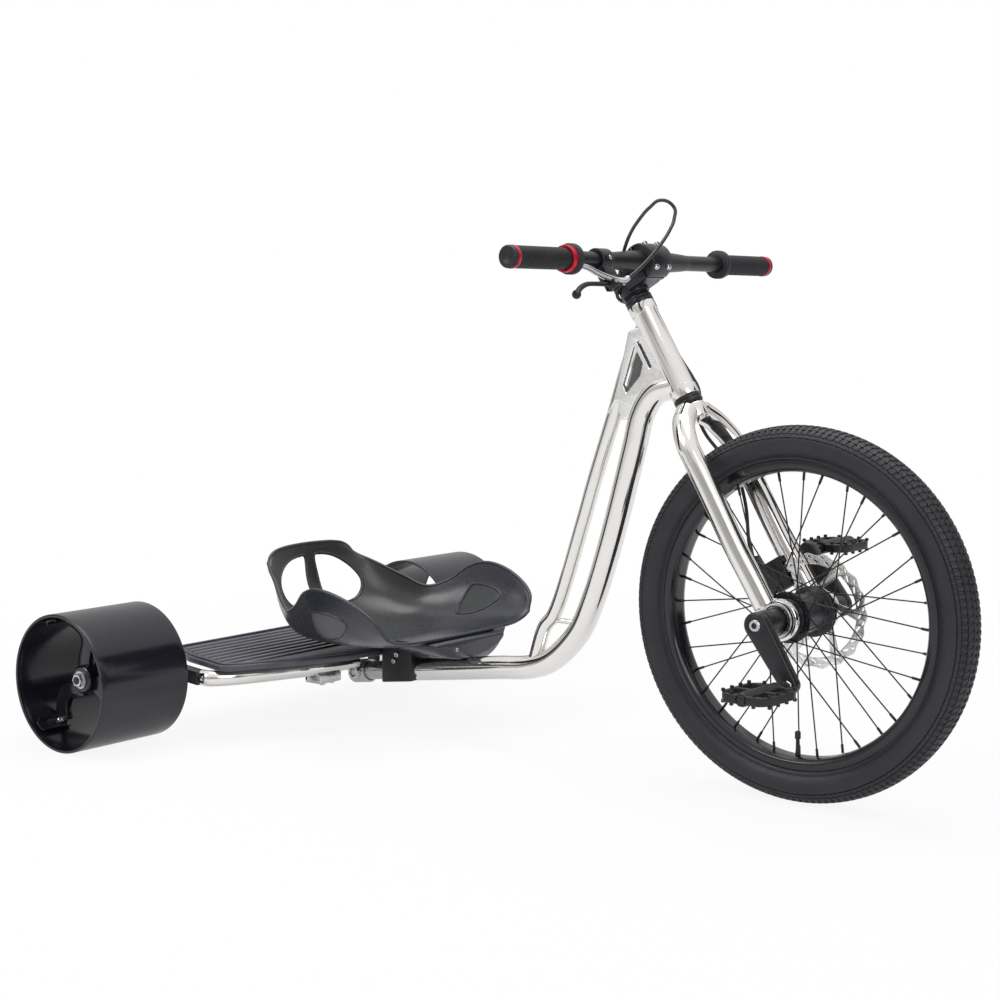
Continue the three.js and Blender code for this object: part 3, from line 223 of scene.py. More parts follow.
# Painted shade: the web seen through the gusset's holes is plating darkened to stand for the shade
# inside the hollow.
GUSSET_WEB_SHADE = finish("shaded plating", (0.16, 0.16, 0.165), 0.3, 1, 0.06, 0.1, 0.04, 900)
RIM_FACE = finish("gloss black rim", (0.01, 0.01, 0.013), 0.14, 0, 0.04, 0.2, 0.03, 600)
LEVER_FACE = finish("polished alloy", (0.62, 0.62, 0.63), 0.16, 1, 0.05, 0.05, 0.03, 900)
ROTOR_FACE = finish("ground steel", (0.72, 0.71, 0.69), 0.28, 1, 0.06, 0.08, 0.05, 1200)
# The wing panels: one grained plastic, painted lighter on the outer face as lit and dark on the inner
# face as in shade.
PANEL_OUT_LIT = finish("grained panel painted lit", (0.085, 0.085, 0.088), 0.5, 0, 0.06, 0.1, 0.3, 1500)
PANEL_IN_SHADE = finish("grained panel painted in shade", (0.014, 0.018, 0.018), 0.5, 0, 0.06, 0.1, 0.3, 1500)
# Painted sheen: where the seat's colour turns along X, in metres of the part's frame, from a warm tint
# at the back to a darker blue one at the front, and the two tints.
SEAT_SHEEN_PLACES = (-0.44, -0.28)
SEAT_SHEEN_TINTS = ((0.95, 0.95, 0.86), (0.72, 0.74, 0.98))


def tint_along(material, places, tints):
    """Lets the colour run from the first tint to the second along X."""
    tree = material.node_tree
    shader = tree.nodes["Principled BSDF"]
    place = add_node(tree, "TexCoord").outputs["Object"]
    along = add_node(tree, "SeparateXYZ", {"Vector": place}).outputs["X"]
    share = add_node(tree, "MapRange", {
        "Value": along, "From Min": places[0], "From Max": places[1],
    })
    mix = add_node(tree, "Mix", {
        "Factor": 1.0,
        "A": shader.inputs["Base Color"].links[0].from_socket,
        "B": ramp(tree, share.outputs["Result"], (0, 1), tints),
    }, data_type="RGBA", blend_type="MULTIPLY")
    feed(tree, shader, {"Base Color": mix.outputs["Result"]})


# Painted sheen: the blue towards the front stands in for light the seat reflects, not a colour of its
# own.
tint_along(FINISH["seat_plastic"], SEAT_SHEEN_PLACES, SEAT_SHEEN_TINTS)


# Shape helpers
def soften(profile, size, steps=3, closed=True):
    """The outline with each corner rounded, as far as its sides allow."""
    count = len(profile)
    out = []
    for i, corner in enumerate(profile):
        if not closed and i in (0, count - 1):
            out.append(Vector(corner))
            continue
        corner = Vector(corner)
        before, after = Vector(profile[i - 1]), Vector(profile[(i + 1) % count])
        reach = [min(size, (side - corner).length * 0.45) for side in (before, after)]
        if min(reach) < 1e-3:
            out.append(corner)
            continue
        start = corner + (before - corner).normalized() * min(reach)
        end = corner + (after - corner).normalized() * min(reach)
        for k in range(steps + 1):
            t = k / steps
            out.append(start * (1 - t) ** 2 + corner * 2 * t * (1 - t) + end * t * t)
    return [tuple(p) for p in out]


def lathe(profile, sides=64, closed=True):
    """The [radius, along] profile turned about Y."""
    bm = bmesh.new()
    rings = []
    for i in range(sides):
        turn = 2 * math.pi * i / sides
        rings.append([
            bm.verts.new((r * math.cos(turn), y, r * math.sin(turn))) for r, y in profile
        ])
    last = len(profile) if closed else len(profile) - 1
    for i in range(sides):
        here, there = rings[i], rings[(i + 1) % sides]
        for j in range(last):
            k = (j + 1) % len(profile)
            bm.faces.new((here[j], here[k], there[k], there[j]))
    bmesh.ops.remove_doubles(bm, verts=bm.verts, dist=1e-3)
    return bm


def sweep(path, radius, sides=40, closed=False):
    """A round rod along a path; radius may be a function of the share of its length."""
    path = [Vector(p) for p in path]
    count = len(path)
    reach = radius if callable(radius) else (lambda share: radius)
    tangents = []
    for i in range(count):
        before = path[(i - 1) % count] if closed or i else path[0]
        after = path[(i + 1) % count] if closed or i < count - 1 else path[-1]
        tangents.append((after - before).normalized())
    side = tangents[0].orthogonal().normalized()
    bm = bmesh.new()
    rings = []
    for i, (place, along) in enumerate(zip(path, tangents)):
        if i:
            turn = tangents[i - 1].rotation_difference(along)
            side = turn @ side
        side = (side - along * side.dot(along)).normalized()
        over = along.cross(side)
        size = reach(i / max(count - 1, 1))
        rings.append([
            bm.verts.new(place + (side * math.cos(a) + over * math.sin(a)) * size)
            for a in (2 * math.pi * k / sides for k in range(sides))
        ])
    pairs = list(zip(rings, rings[1:])) + ([(rings[-1], rings[0])] if closed else [])
    for n, (here, there) in enumerate(pairs):
        shift = 0
        if closed and n == len(pairs) - 1:
            shift = min(range(sides), key=lambda s: (there[s].co - here[0].co).length)
        for k in range(sides):
            m = (k + 1) % sides
            bm.faces.new((here[k], here[m], there[(m + shift) % sides], there[(k + shift) % sides]))
    if not closed:
        bm.faces.new(reversed(rings[0]))
        bm.faces.new(rings[-1])
    return bm


def plate(outline, low, high, holes=(), round_=0.8, axis="Y"):
    """A plate with rounded edges: an outline in X and Z from low to high along Y, or in X and Y
    along Z."""
    def spaced(ring):
        kept = [ring[0]]
        for spot in ring[1:]:
            if math.dist(spot, kept[-1]) > 0.25:
                kept.append(spot)
        return kept if math.dist(kept[0], kept[-1]) > 0.25 else kept[:-1]

    outline, holes = spaced(outline), [spaced(hole) for hole in holes]
    curve = bpy.data.curves.new("outline", "CURVE")
    curve.dimensions = "2D"
    curve.fill_mode = "BOTH"
    for ring in (outline, *holes):
        spline = curve.splines.new("POLY")
        spline.points.add(len(ring) - 1)
        for spot, (u, v) in zip(spline.points, ring):
            spot.co = (u, v, 0, 1)
        spline.use_cyclic_u = True
    curve.extrude = (high - low) / 2 - round_
    curve.bevel_depth = round_
    curve.bevel_resolution = 2
    curve.offset = -round_
    holder = bpy.data.objects.new("outline", curve)
    mesh = bpy.data.meshes.new_from_object(holder)
    bm = bmesh.new()
    bm.from_mesh(mesh)
    bpy.data.objects.remove(holder)
    bpy.data.curves.remove(curve)
    bpy.data.meshes.remove(mesh)
    bmesh.ops.remove_doubles(bm, verts=bm.verts, dist=1e-3)
    if axis == "Y":
        bm.transform(Matrix.Rotation(math.pi / 2, 4, "X"))
        bm.transform(Matrix.Translation((0, (low + high) / 2, 0)))
    else:
        bm.transform(Matrix.Translation((0, 0, (low + high) / 2)))
    return bm


def block(low, high, round_=1.5, steps=2):
    """A box between two corners, with rounded edges."""
    bm = bmesh.new()
    bmesh.ops.create_cube(bm, size=1)
    size = Vector(high) - Vector(low)
    bm.transform(Matrix.Translation((Vector(high) + Vector(low)) / 2) @ Matrix.Diagonal((*size, 1)))
    reach = min(round_, min(size) * 0.45)
    bmesh.ops.bevel(bm, geom=bm.edges[:], offset=reach, segments=steps, profile=0.5,
                    affect="EDGES")
    return bm


def joined(*parts):
    """One bmesh of several; each part is a bmesh, or a pair of a matrix and one."""
    whole = bmesh.new()
    for part in parts:
        matrix, bm = part if isinstance(part, tuple) else (None, part)
        if matrix:
            bm.transform(matrix)
            if matrix.determinant() < 0:
                bmesh.ops.reverse_faces(bm, faces=bm.faces)
        mesh = bpy.data.meshes.new("part")
        bm.to_mesh(mesh)
        bm.free()
        whole.from_mesh(mesh)
        bpy.data.meshes.remove(mesh)
    return whole


def aim(place, direction):
    """A frame at place with Y along direction."""
    turn = Vector((0, 1, 0)).rotation_difference(Vector(direction)).to_matrix().to_4x4()
    return Matrix.Translation(place) @ turn


def bolt(radius, height, sides=24):
    """A bolt head standing on Y = 0, with a socket in its top."""
    inner, floor = radius * 0.5, height * 0.45
    profile = [
        (0, floor), (inner, floor), (inner, height), (radius * 0.86, height),
        (radius, height - radius * 0.16), (radius, 0), (0, 0),
    ]
    return lathe(profile, sides, closed=False)


def arc(radius, start, end, count, centre=(0, 0)):
    """Points on a circle from one angle to another, in radians."""
    turns = [start + (end - start) * k / count for k in range(count + 1)]
    return [(centre[0] + radius * math.cos(t), centre[1] + radius * math.sin(t)) for t in turns]


def full_circle(radius, count):
    return arc(radius, 0, 2 * math.pi * (count - 1) / count, count - 1)


def both_ways(half, closed=False):
    """A profile that starts at the middle, and its mirror image."""
    return half + [(r, -y) for r, y in reversed(half[1:-1] if closed else half[1:])]


def mesh_object(name, bm):
    mesh = bpy.data.meshes.new(name)
    bm.to_mesh(mesh)
    bm.free()
    obj = bpy.data.objects.new(name, mesh)
    scene.collection.objects.link(obj)
    return obj


def piece(name, bm, stands_for=(), body=None, slot=None, matrix=None, crease=32, look=None):
    """Makes the piece, in metres, hangs it on the body it rides on and hides the parts it stands for.
    """
    stands_for = (stands_for,) if isinstance(stands_for, str) else stands_for
    if matrix:
        bm.transform(matrix)
    bm.transform(TO_METRES)
    bmesh.ops.recalc_face_normals(bm, faces=bm.faces)
    obj = mesh_object(name, bm)
    mesh = obj.data
    mesh.polygons.foreach_set("use_smooth", [True] * len(mesh.polygons))
    mesh.set_sharp_from_angle(angle=math.radians(crease))
    slot = slot or SLOT[stands_for[0]]
    mesh.materials.append(look or FINISH[slot])
    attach(obj, body or BODY[stands_for[0]])
    if stands_for:
        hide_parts(*stands_for)


def turned(name, profile, node, rounding, steps=2, sides=56, closed=True, **options):
    """A piece turned on a lathe, with its corners rounded."""
    bm = lathe(soften(profile, rounding, steps, closed), sides, closed)
    piece(name, bm, node, **options)


SIDES = ((-1, "right"), (1, "left"))
STEEL = {"body": "steering", "slot": "bare_steel", "matrix": HEAD}


# Brake cable
ADJUSTER_LENGTH = 15.0
CABLE_RADIUS = 2.5
CABLE_POINTS = 38
CABLE_SAMPLES = 260
CABLE_SMOOTHING = 14
FORK_TOP = HEAD_LENGTH + CUP_HEIGHT + 0.6
LEG_END = 470.0
CALIPER_OUT = 61.0
CABLE_ROUTE = [
    (49, 6, 102.5), (56, 11, 86), (70, 24, 60), (84, 39, 36), (98, 60, 8), (107, 84, -14),
    (109, 103, -18), (101, 112, -4), (83, 103, 14), (60, 88, 30), (38, 69, 37), (18, 51, 35),
    (0, 37, 28), (-18, 28, 19), (-26, 22, 0), (-19, 13, -19), (-6, 0, -28),
]
CABLE_HEAD = [(-3, 0.182, -30), (0, 0.485, -31), (5, 0.787, -32), (3, 0.909, -33)]
CABLE_LEG = [
    (-15, 0.01, -35), (-23, 0.075, -39), (-24, 0.154, -47), (-21, 0.239, -55),
    (-17, 0.331, -60), (-24, 0.442, -62), (-36, 0.547, -62), (-50, 0.633, -62),
]
CABLE_END = (-54, -383.2, 1 - CALIPER_OUT)


def add_cable():
    route = [Vector(p) for p in CABLE_ROUTE]
    route += [Vector((f, -down * FORK_TOP, r)) for f, down, r in CABLE_HEAD]
    route += [
        Vector((f, -FORK_TOP - down * (LEG_END - FORK_TOP), r)) for f, down, r in CABLE_LEG
    ]
    route.append(Vector(CABLE_END))
    along = (route[1] - route[0]).normalized()
    route[0] = route[0] + along * (ADJUSTER_LENGTH - 0.5)
    path = catmull(route, CABLE_SAMPLES)
    for _ in range(CABLE_SMOOTHING):
        path = [path[0], path[1], *[
            (a + 2 * b + c) / 4 for a, b, c in zip(path[1:], path[2:], path[3:])
        ], path[-1]]
    path = [TO_METRES @ (HEAD @ p) for p in path]
    spots, length = evenly(path, CABLE_POINTS)
    curve = bpy.data.curves.new("brake_cable_run", "CURVE")
    curve.dimensions = "3D"
    curve.bevel_depth = CABLE_RADIUS * MM
    curve.bevel_resolution = 6
    curve.use_fill_caps = True
    spline = curve.splines.new("BEZIER")
    spline.bezier_points.add(CABLE_POINTS - 1)
    for spot, place in zip(spline.bezier_points, spots):
        spot.co = place
        spot.handle_left_type = spot.handle_right_type = "AUTO"
    curve.materials.append(FINISH["cable_sheath"])
    obj = bpy.data.objects.new("brake_cable_run", curve)
    scene.collection.objects.link(obj)
    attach(obj, "steering")
    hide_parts("brake_cable")


add_camera()
add_cable()


# Frame
MAIN_REAR = Vector((247, 0, 87))
MAIN_FRONT = HEAD @ Vector((0, 21 - HEAD_LENGTH, 0))
MAIN_RADIUS, TOP_RADIUS = 18.0, 11.0
SLOPE = math.radians(8)
SLIDE_AXIS = Vector((math.cos(SLOPE), 0, math.sin(SLOPE)))
MAIN_PATH = [
    (0, 0), (0.2, 0.0329), (0.413, 0.0679), (0.52, 0.0855), (0.595, 0.12), (0.6825, 0.2163),
    (0.7256, 0.3109), (0.7866, 0.5104), (0.8603, 0.8065), (0.886, 0.912), (0.927, 0.974), (1, 1),
]
TOP_FOOT = Vector((545, 0, 141))
TOP_PATH = [
    (0, 0), (0.09, 0.1), (0.18, 0.142), (0.442, 0.42), (0.539, 0.535), (0.72, 0.734),
    (0.874, 0.906), (1, 1),
]


def slide_at(distance):
    return MAIN_REAR + SLIDE_AXIS * distance


def between(start, end, shares, count):
    reach = end - start
    return catmull([(start.x + a * reach.x, 0, start.z + b * reach.z) for a, b in shares], count)


main_path = between(MAIN_REAR, MAIN_FRONT, MAIN_PATH, 150)
top_path = between(TOP_FOOT, HEAD @ Vector((0, -22, 0)), TOP_PATH, 110)


def open_tube(path, radius, bore, depth, sides=48):
    """A tube whose first end is open to a depth."""
    bm = sweep(path, radius, sides)
    bm.faces.ensure_lookup_table()
    cap = min(bm.faces, key=lambda f: (f.calc_center_median() - Vector(path[0])).length)
    bmesh.ops.inset_region(bm, faces=[cap], thickness=radius - bore, depth=0)
    along = (Vector(path[1]) - Vector(path[0])).normalized()
    moved = bmesh.ops.extrude_face_region(bm, geom=[cap])
    verts = [v for v in moved["geom"] if isinstance(v, bmesh.types.BMVert)]
    bmesh.ops.translate(bm, verts=verts, vec=along * depth)
    bmesh.ops.delete(bm, geom=[cap], context="FACES_ONLY")
    return bm


def make_frame():
    piece("main_tube_run", open_tube(main_path, MAIN_RADIUS, 16.0, 40), "main_tube")
    foot = next(p for p in top_path if p.z >= 202)
    tie = sweep([foot, foot + Vector((44, 0, 0))], 4, 20)
    piece("top_tube_run", joined(sweep(top_path, TOP_RADIUS, 36), tie), "top_tube")

    collar, height = 20.0, 15.0
    profile = [
        (17, -HEAD_LENGTH), (collar, -HEAD_LENGTH), (collar, height - HEAD_LENGTH),
        (18.5, height - HEAD_LENGTH), (18.5, -height), (collar, -height), (collar, 0), (17, 0),
    ]
    turned("head_tube_shell", profile, "head_tube", 1.0, 3, 72, matrix=HEAD)
    cup = [
        (15.2, -8), (16.7, -8), (16.7, 0.3), (collar, 0.3), (collar, 6), (19.3, 6.8), (collar, 7.6),
        (collar, 10.5), (18, CUP_HEIGHT), (15.2, CUP_HEIGHT),
    ]
    lower = HEAD @ Matrix.Translation((0, -HEAD_LENGTH, 0)) @ Matrix.Rotation(math.pi, 4, "X")
    for name, place in (("headset_upper_cup", HEAD), ("headset_lower_cup", lower)):
        turned(name + "_turned", cup, name, 0.5, sides=64, matrix=place)
    make_gusset()


GUSSET_HEIGHT = 150.0
GUSSET_REAR = [
    (0.13, 1.4), (0.34, 0.65), (0.62, 0.2), (0.85, 0.1), (1, 0.45), (0.84, -0.6), (1.053, -2),
    (1.03, -3.1),
]
GUSSET_FRONT = [0.53, 1 / 3, 0.15, 0]
GUSSET_HOLE = [(-0.021, 0.377), (0.078, 0.538), (0.051, 0.658), (-0.108, 0.83), (-0.149, 0.75)]


def from_top(path, distance):
    """The place that far down a path from its upper end."""
    left = distance
    for second, first in zip(reversed(path), list(reversed(path))[1:]):
        step = (second - first).length
        if left <= step:
            return second.lerp(first, left / step)
        left -= step
    return path[0]


def make_gusset():
    corners = []
    for down, back in GUSSET_REAR:
        spot = from_top(top_path, down * GUSSET_HEIGHT)
        corners.append((spot.x - back * TOP_RADIUS, spot.z))
    for down in GUSSET_FRONT:
        spot = from_top(main_path, down * GUSSET_HEIGHT)
        corners.append((spot.x, spot.z))
    spot = HEAD_TOP.lerp(MAIN_FRONT, 0.25)
    corners.append((spot.x, spot.z))
    outline = soften(corners, 5, 4)
    hole = [(HEAD_TOP.x + f * HEAD_LENGTH, HEAD_TOP.z - d * HEAD_LENGTH) for f, d in GUSSET_HOLE]
    across = FORWARD * 2.4
    slot = []
    for down, signs in ((-45, (-1, 1)), (-88, (1, -1))):
        end = HEAD @ Vector((-24, down, 0))
        slot += [(end.x + sign * across.x, end.z + sign * across.z) for sign in signs]
    web = plate(outline, -1.5, 1.5, round_=0.3)
    # The web wears the darkened plating: painted shade.
    piece("gusset_web", web, body="frame", slot="chrome_tube", look=GUSSET_WEB_SHADE)
    skins = [
        plate(outline, *ends, holes=(soften(hole, 3, 3), soften(slot, 2, 3)), round_=1.6)
        for ends in ((-13, -0.5), (0.5, 13))
    ]
    piece("gusset_formed", joined(*skins), "frame_gusset", look=GUSSET_FACE)


# Steering and fork
STEERER = 14.3
LEG_RADIUS, LEG_OUT = 15.8, 60.0
LEG_PATH = [
    (0.02, 0.03, 0.3), (0.03, 0.09, 0.68), (0.12, 0.2, 0.97), (0.16, 0.27, 1), (0.1, 0.48, 1),
    (0.0, 0.7, 1), (0.08, 0.88, 1), (0.1, 1, 1),
]


def make_fork():
    bottom = -FORK_TOP - 22
    profile = [
        (0, bottom), (19, bottom), (19, -FORK_TOP), (STEERER, -FORK_TOP), (STEERER, 50), (0, 50),
    ]
    turned("steerer_turned", profile, "fork_steerer", 2.5, 4, 64, False, matrix=HEAD)
    ring = [(24, 50), (29, 50), (29, 60), (24, 60)]
    cap = [(12, 52), (22.5, 52), (22.5, 61.5), (24, 61.5), (24, 65.3), (20, 65.3), (19, 64), (12, 64)]
    for side, word in SIDES:
        path = [
            (forward * LEG_RADIUS, -FORK_TOP - down * (LEG_END - FORK_TOP), -side * out * LEG_OUT)
            for forward, down, out in LEG_PATH
        ]
        turn = Matrix.Rotation(-side * math.pi / 2, 4, "X")
        place = Matrix.Translation((FORK_OFFSET, -AXLE_DROP, 0)) @ turn
        leg = joined(sweep(catmull(path, 110), LEG_RADIUS), (place, lathe(soften(ring, 1.6))))
        piece(f"fork_leg_{word}_run", leg, f"fork_leg_{word}", matrix=HEAD)
        turned(f"dropout_cap_{word}_turned", cap, f"dropout_cap_{word}", 0.8, 3,
               matrix=HEAD @ place)


def make_stem():
    centre, radius, half = (BAR_FORWARD, BAR_UP), 26, 24
    sleeve = lathe(soften([(14.6, 16), (21, 16), (21, 49.7), (14.6, 49.7)], 1.6), 56)
    outline = arc(radius, math.radians(91), math.radians(168), 12, centre)
    outline += [(6, 49), (6, 21), (27, 20.6)]
    outline += arc(radius, math.radians(252), math.radians(269), 4, centre)
    turn = Matrix.Rotation(-math.pi / 2, 4, "X")
    bolts = [
        (aim((-17, 33, out * 0.7), (-0.35, 0, math.copysign(1, out))), bolt(4, 4.5))
        for out in (-17, 17)
    ]
    clamp = plate(outline, -half, half, round_=2.2)
    piece("stem_body", joined(sleeve, (turn, clamp), *bolts), "stem", matrix=HEAD)
    front = arc(radius, math.radians(-88), math.radians(88), 24, centre)
    face = plate(soften(front, 1.0, 2), -half, half, round_=2.6)
    piece("stem_faceplate_body", joined((turn, face)), "stem_faceplate", matrix=HEAD)
    heads = [
        (aim((BAR_FORWARD + 15.5, BAR_UP + rise, out), (1, 0, 0)), bolt(4.2, 4.4))
        for out in (-15, 15) for rise in (-19, 19)
    ]
    piece("faceplate_bolts", joined(*heads), **STEEL)
    spacer = [(14.6, 13.9), (18, 13.9), (18, 15.7), (14.6, 15.7)]
    turned("headset_spacer_turned", spacer, "headset_spacer", 0.4, matrix=HEAD)
    cap = [(0, 50.3), (15, 50.3), (15, 52.5), (12.5, 55.3), (5, 55.3), (4.4, 53), (0, 53)]
    turned("top_cap_turned", cap, "top_cap", 0.8, 2, 48, False, matrix=HEAD)


# How thick each lock ring is, and where it ends along the bar.
LOCK_RINGS = {"right": (18.5, 197.3), "left": (17.3, 192.6)}
GRIP_RIBS, GRIP_PITCH = 30, 3.4


def make_bar():
    half = [(15.9, 0), (15.9, 28), (15.3, 34), (12.1, 84), (11.1, 95), (11.1, 312), (8.6, 312)]
    turned("handlebar_turned", both_ways(half), "handlebar", 4, 4, matrix=BAR)
    grip = [(11.4, 177), (19.6, 177), (21, 178.4), (21, 186.6), (19.6, 188), (15, 188.3), (14.6, 197.6)]
    for k in range(GRIP_RIBS):
        at = 199 + k * GRIP_PITCH
        grip += [(13.9, at), (14.95, at + 0.7), (14.95, at + 2), (13.9, at + 2.7)]
    grip += [(14.5, 301), (14.5, 309), (15, 309.4), (15, 315.2), (13.6, 317), (6, 317), (5.2, 316.2),
             (0, 316.2), (0, 312.3), (11.4, 312.3)]
    end = [(14.4, 305.2), (15.5, 305.2), (15.5, 310.2), (14.4, 310.2)]
    for side, word in ((1, "right"), (-1, "left")):
        place = BAR @ Matrix.Diagonal((1, side, 1, 1))
        piece(f"grip_{word}_ribbed", lathe(grip, 56), f"grip_{word}", matrix=place, crease=50)
        reach, to = LOCK_RINGS[word]
        band = [(15.3, 188.3), (reach, 188.3), (reach, to), (15.3, to)]
        screw = (aim((0, 192.8, 17.8), (0, 0, 1)), bolt(2.2, 1.0, 16))
        body = joined(lathe(soften(band, 0.9), 56), screw)
        piece(f"lock_ring_{word}_turned", body, f"lock_ring_{word}", matrix=place)
        turned(f"grip_end_ring_{word}", end, (), 0.5, 2, 48, body="steering", slot="red_alloy",
               matrix=place)


PERCH_FROM, PERCH_TO, PERCH_HALF = 103.0, 128.0, 8.8
PIVOT = Vector((BAR_FORWARD, BAR_UP - 39, (PERCH_FROM + PERCH_TO) / 2))
BLADE_REACH = 86.0
BLADE_PATH = [(0, 0, 0), (0.01, 0, 0.35), (0, -0.01, 0.68), (-0.02, -0.08, 0.88),
              (-0.04, -0.17, 1)]
SHANK_PATH = [(50, 7, 96), (47, 10, 108), (46, 15, 124), (46, 22, 143), (47, 29, 160),
              (46, 33, 172)]


def make_lever():
    clasp = [(11.4, PERCH_FROM), (16.1, PERCH_FROM), (16.1, PERCH_TO), (11.4, PERCH_TO)]
    bar_place = Matrix.Translation((BAR_FORWARD, BAR_UP, 0)) @ Matrix.Rotation(math.pi / 2, 4, "X")
    rear, front, low = BAR_FORWARD - PERCH_HALF, BAR_FORWARD + PERCH_HALF, PIVOT.y + 7.8
    parts = [
        (bar_place, lathe(soften(clasp, 1.4), 48)),
        block((rear, low, 103.2), (front, 35, 127.8), 3, 3),
        block((rear, PIVOT.y - 6.5, 103.2), (front, low + 4, 106), 1.2),
    ]
    for cheek in (rear, front - 2.8):
        near, far = PIVOT.z - 6.8, PIVOT.z + 6.8
        parts.append(block((cheek, PIVOT.y - 6.8, near), (cheek + 2.8, low + 5, far), 1.2))
    piece("lever_perch_body", joined(*parts), "lever_perch", matrix=HEAD)
    pin = soften([(0, 0), (2.3, 0), (2.3, 18), (0, 18)], 0.5, 2, False)
    piece("lever_pin", joined(
        (aim((BAR_FORWARD - 9, PIVOT.y, PIVOT.z), (1, 0, 0)), lathe(pin, 20, False)),
        (aim((BAR_FORWARD + 16, BAR_UP - 6, PIVOT.z), (1, -0.3, 0)), bolt(3.2, 2.0, 20)),
    ), **STEEL)
    shank = sweep(catmull(SHANK_PATH, 40), lambda share: 5.4 - 1.6 * share, 20)
    piece("lever_shank", shank, look=LEVER_FACE, **STEEL)
    make_blade()
    make_adjuster()


def make_blade():
    path = catmull([PIVOT + Vector(p) * BLADE_REACH for p in BLADE_PATH], 40)
    arm = sweep(path, lambda share: 4.4 - math.sin(share * math.pi), 20)
    flat = Matrix.Translation(PIVOT) @ Matrix.Diagonal((0.72, 1, 1, 1)) @ Matrix.Translation(-PIVOT)
    knuckle = [(2.8, -5.2), (6.9, -5.2), (6.9, 5.2), (2.8, 5.2)]
    tip = [(0, -6.3), (3.2, -5.5), (5.6, -3), (6.4, 0), (5.6, 3), (3.2, 5.5), (0, 6.3)]
    piece("lever_blade", joined(
        (flat, arm),
        (aim(PIVOT, (1, 0, 0)), lathe(soften(knuckle, 1.2), 36)),
        (Matrix.Translation(path[-1]), lathe(tip, 24, False)),
    ), "brake_lever", matrix=HEAD)


def make_adjuster():
    first, second = Vector(CABLE_ROUTE[0]), Vector(CABLE_ROUTE[1])
    along = (second - first).normalized()
    barrel = [(0, 1.4), (3.4, 1.4), (3.4, 3.2), (4.5, 3.4)]
    for k in range(4):
        at = 4 + k * 1.5
        barrel += [(4.5, at), (4.1, at + 0.75)]
    barrel += [(4.5, 10), (4.5, 11), (3.6, 11.6), (3.6, 14.2), (2.9, 15), (0, 15)]
    piece("barrel_adjuster_turned", lathe(barrel, 28, False), "barrel_adjuster",
          matrix=HEAD @ aim(first, along), crease=40)


# Disc brake
ROTOR_RADIUS = 80.0


def make_rotor():
    arms = 6
    step = 2 * math.pi / arms
    outline = []
    for k in range(180):
        turn = 2 * math.pi * k / 180
        reach = ROTOR_RADIUS - 1.6 + 1.6 * math.cos(turn * 18)
        outline.append((reach * math.cos(turn), reach * math.sin(turn)))
    holes = [full_circle(20.5, 40)]
    for i in range(arms):
        outer = arc(64.5, (i + 0.1) * step, (i + 0.9) * step, 12)
        inner = arc(35, (i + 0.42) * step, (i + 1.16) * step, 6)
        holes.append(soften(outer + inner[::-1], 3, 3))
    for i in range(24):
        at = 2 * math.pi * i / 24
        for radius, size, long, lead in ((69.2, 1.5, 4.4, 0), (75.0, 1.2, 3.0, 0.13)):
            centre = Vector((radius * math.cos(at + lead), radius * math.sin(at + lead)))
            along = Vector((math.cos(at + lead + 1.1), math.sin(at + lead + 1.1))) * long
            over = Vector((-along.y, along.x)).normalized() * size
            ring = [centre + along + over, centre - along + over, centre - along - over,
                    centre + along - over]
            holes.append(soften([tuple(p) for p in ring], 1.2, 2))
    body = plate(outline, 38.8, 40.6, holes, round_=0.15)
    piece("brake_rotor_slotted", body, "brake_rotor", matrix=WHEEL, look=ROTOR_FACE)
    heads = []
    for i in range(6):
        turn = 2 * math.pi * (i + 0.5) / 6
        place = (28.5 * math.cos(turn), 40.6, 28.5 * math.sin(turn))
        heads.append((aim(place, (0, 1, 0)), bolt(3, 1.8, 18)))
    piece("rotor_bolts", joined(*heads), body="front_wheel", slot="bare_steel", matrix=WHEEL)


CALIPER_TOP, CALIPER_BOTTOM, CALIPER_REAR, CALIPER_FRONT = -404.0, -448.0, -48.0, 4.0
CALIPER_DIAL = (-24, -426)
CABLE_STOP = -384


def make_caliper():
    top, bottom, rear, front = CALIPER_TOP, CALIPER_BOTTOM, CALIPER_REAR, CALIPER_FRONT
    outer, pad_in, pad_out = -CALIPER_OUT, -38.0, -41.4
    inward = (0, 0, -1)
    dial = soften([(0, 0), (17, 0), (17, 3), (12, 3), (12, 1.2), (0, 1.2)], 0.8, closed=False)
    parts = [
        block((rear, bottom, pad_in), (front - 6, top, -34.6), 3, 3),
        block((rear + 9, bottom, outer + 3), (front, top - 3, pad_out), 9, 6),
        block((rear, top - 10, pad_out - 1), (front - 4, top, pad_in + 1), 1),
        block((rear, top - 4, outer), (rear + 4, CABLE_STOP, outer + 12), 1.2),
        block((-60, CABLE_STOP - 4, outer), (rear + 4, CABLE_STOP, outer + 12), 1.2),
        (aim((*CALIPER_DIAL, outer + 3.2), inward), lathe(dial, 40, False)),
    ]
    for k in range(5):
        low = rear + 10 + k * 7
        parts.append(block((low, top - 1, pad_out - 12), (low + 2.5, top, pad_out - 2), 0.6))
    ribs = [(0, -14)]
    for k in range(6):
        ribs += [(4.6, -13.5 + k * 3), (3.6, -12 + k * 3)]
    ribs += [(2.6, 5), (0, 5)]
    piece("cable_boot", lathe(ribs, 28, False), body="steering", slot="cable_sheath",
          matrix=HEAD @ aim((-54, CABLE_STOP - 4, -60), (0.02, 1, -0.05)))
    piece("brake_caliper_body", joined(*parts), "brake_caliper", matrix=HEAD)
    heads = [
        (aim((*spot, outer + 0.4), inward), bolt(4, 3.4, 20))
        for spot in ((-41, -409), (-4, -441), (-41, -442))
    ]
    coil = [
        (CALIPER_DIAL[0] + 8.6 * math.cos(k * 0.42), CALIPER_DIAL[1] + 8.6 * math.sin(k * 0.42),
         outer + 1.4 - k * 0.028)
        for k in range(50)
    ]
    piece("caliper_bolts", joined(*heads, sweep(coil, 0.9, 8)), **STEEL)
    make_caliper_arm(inward)


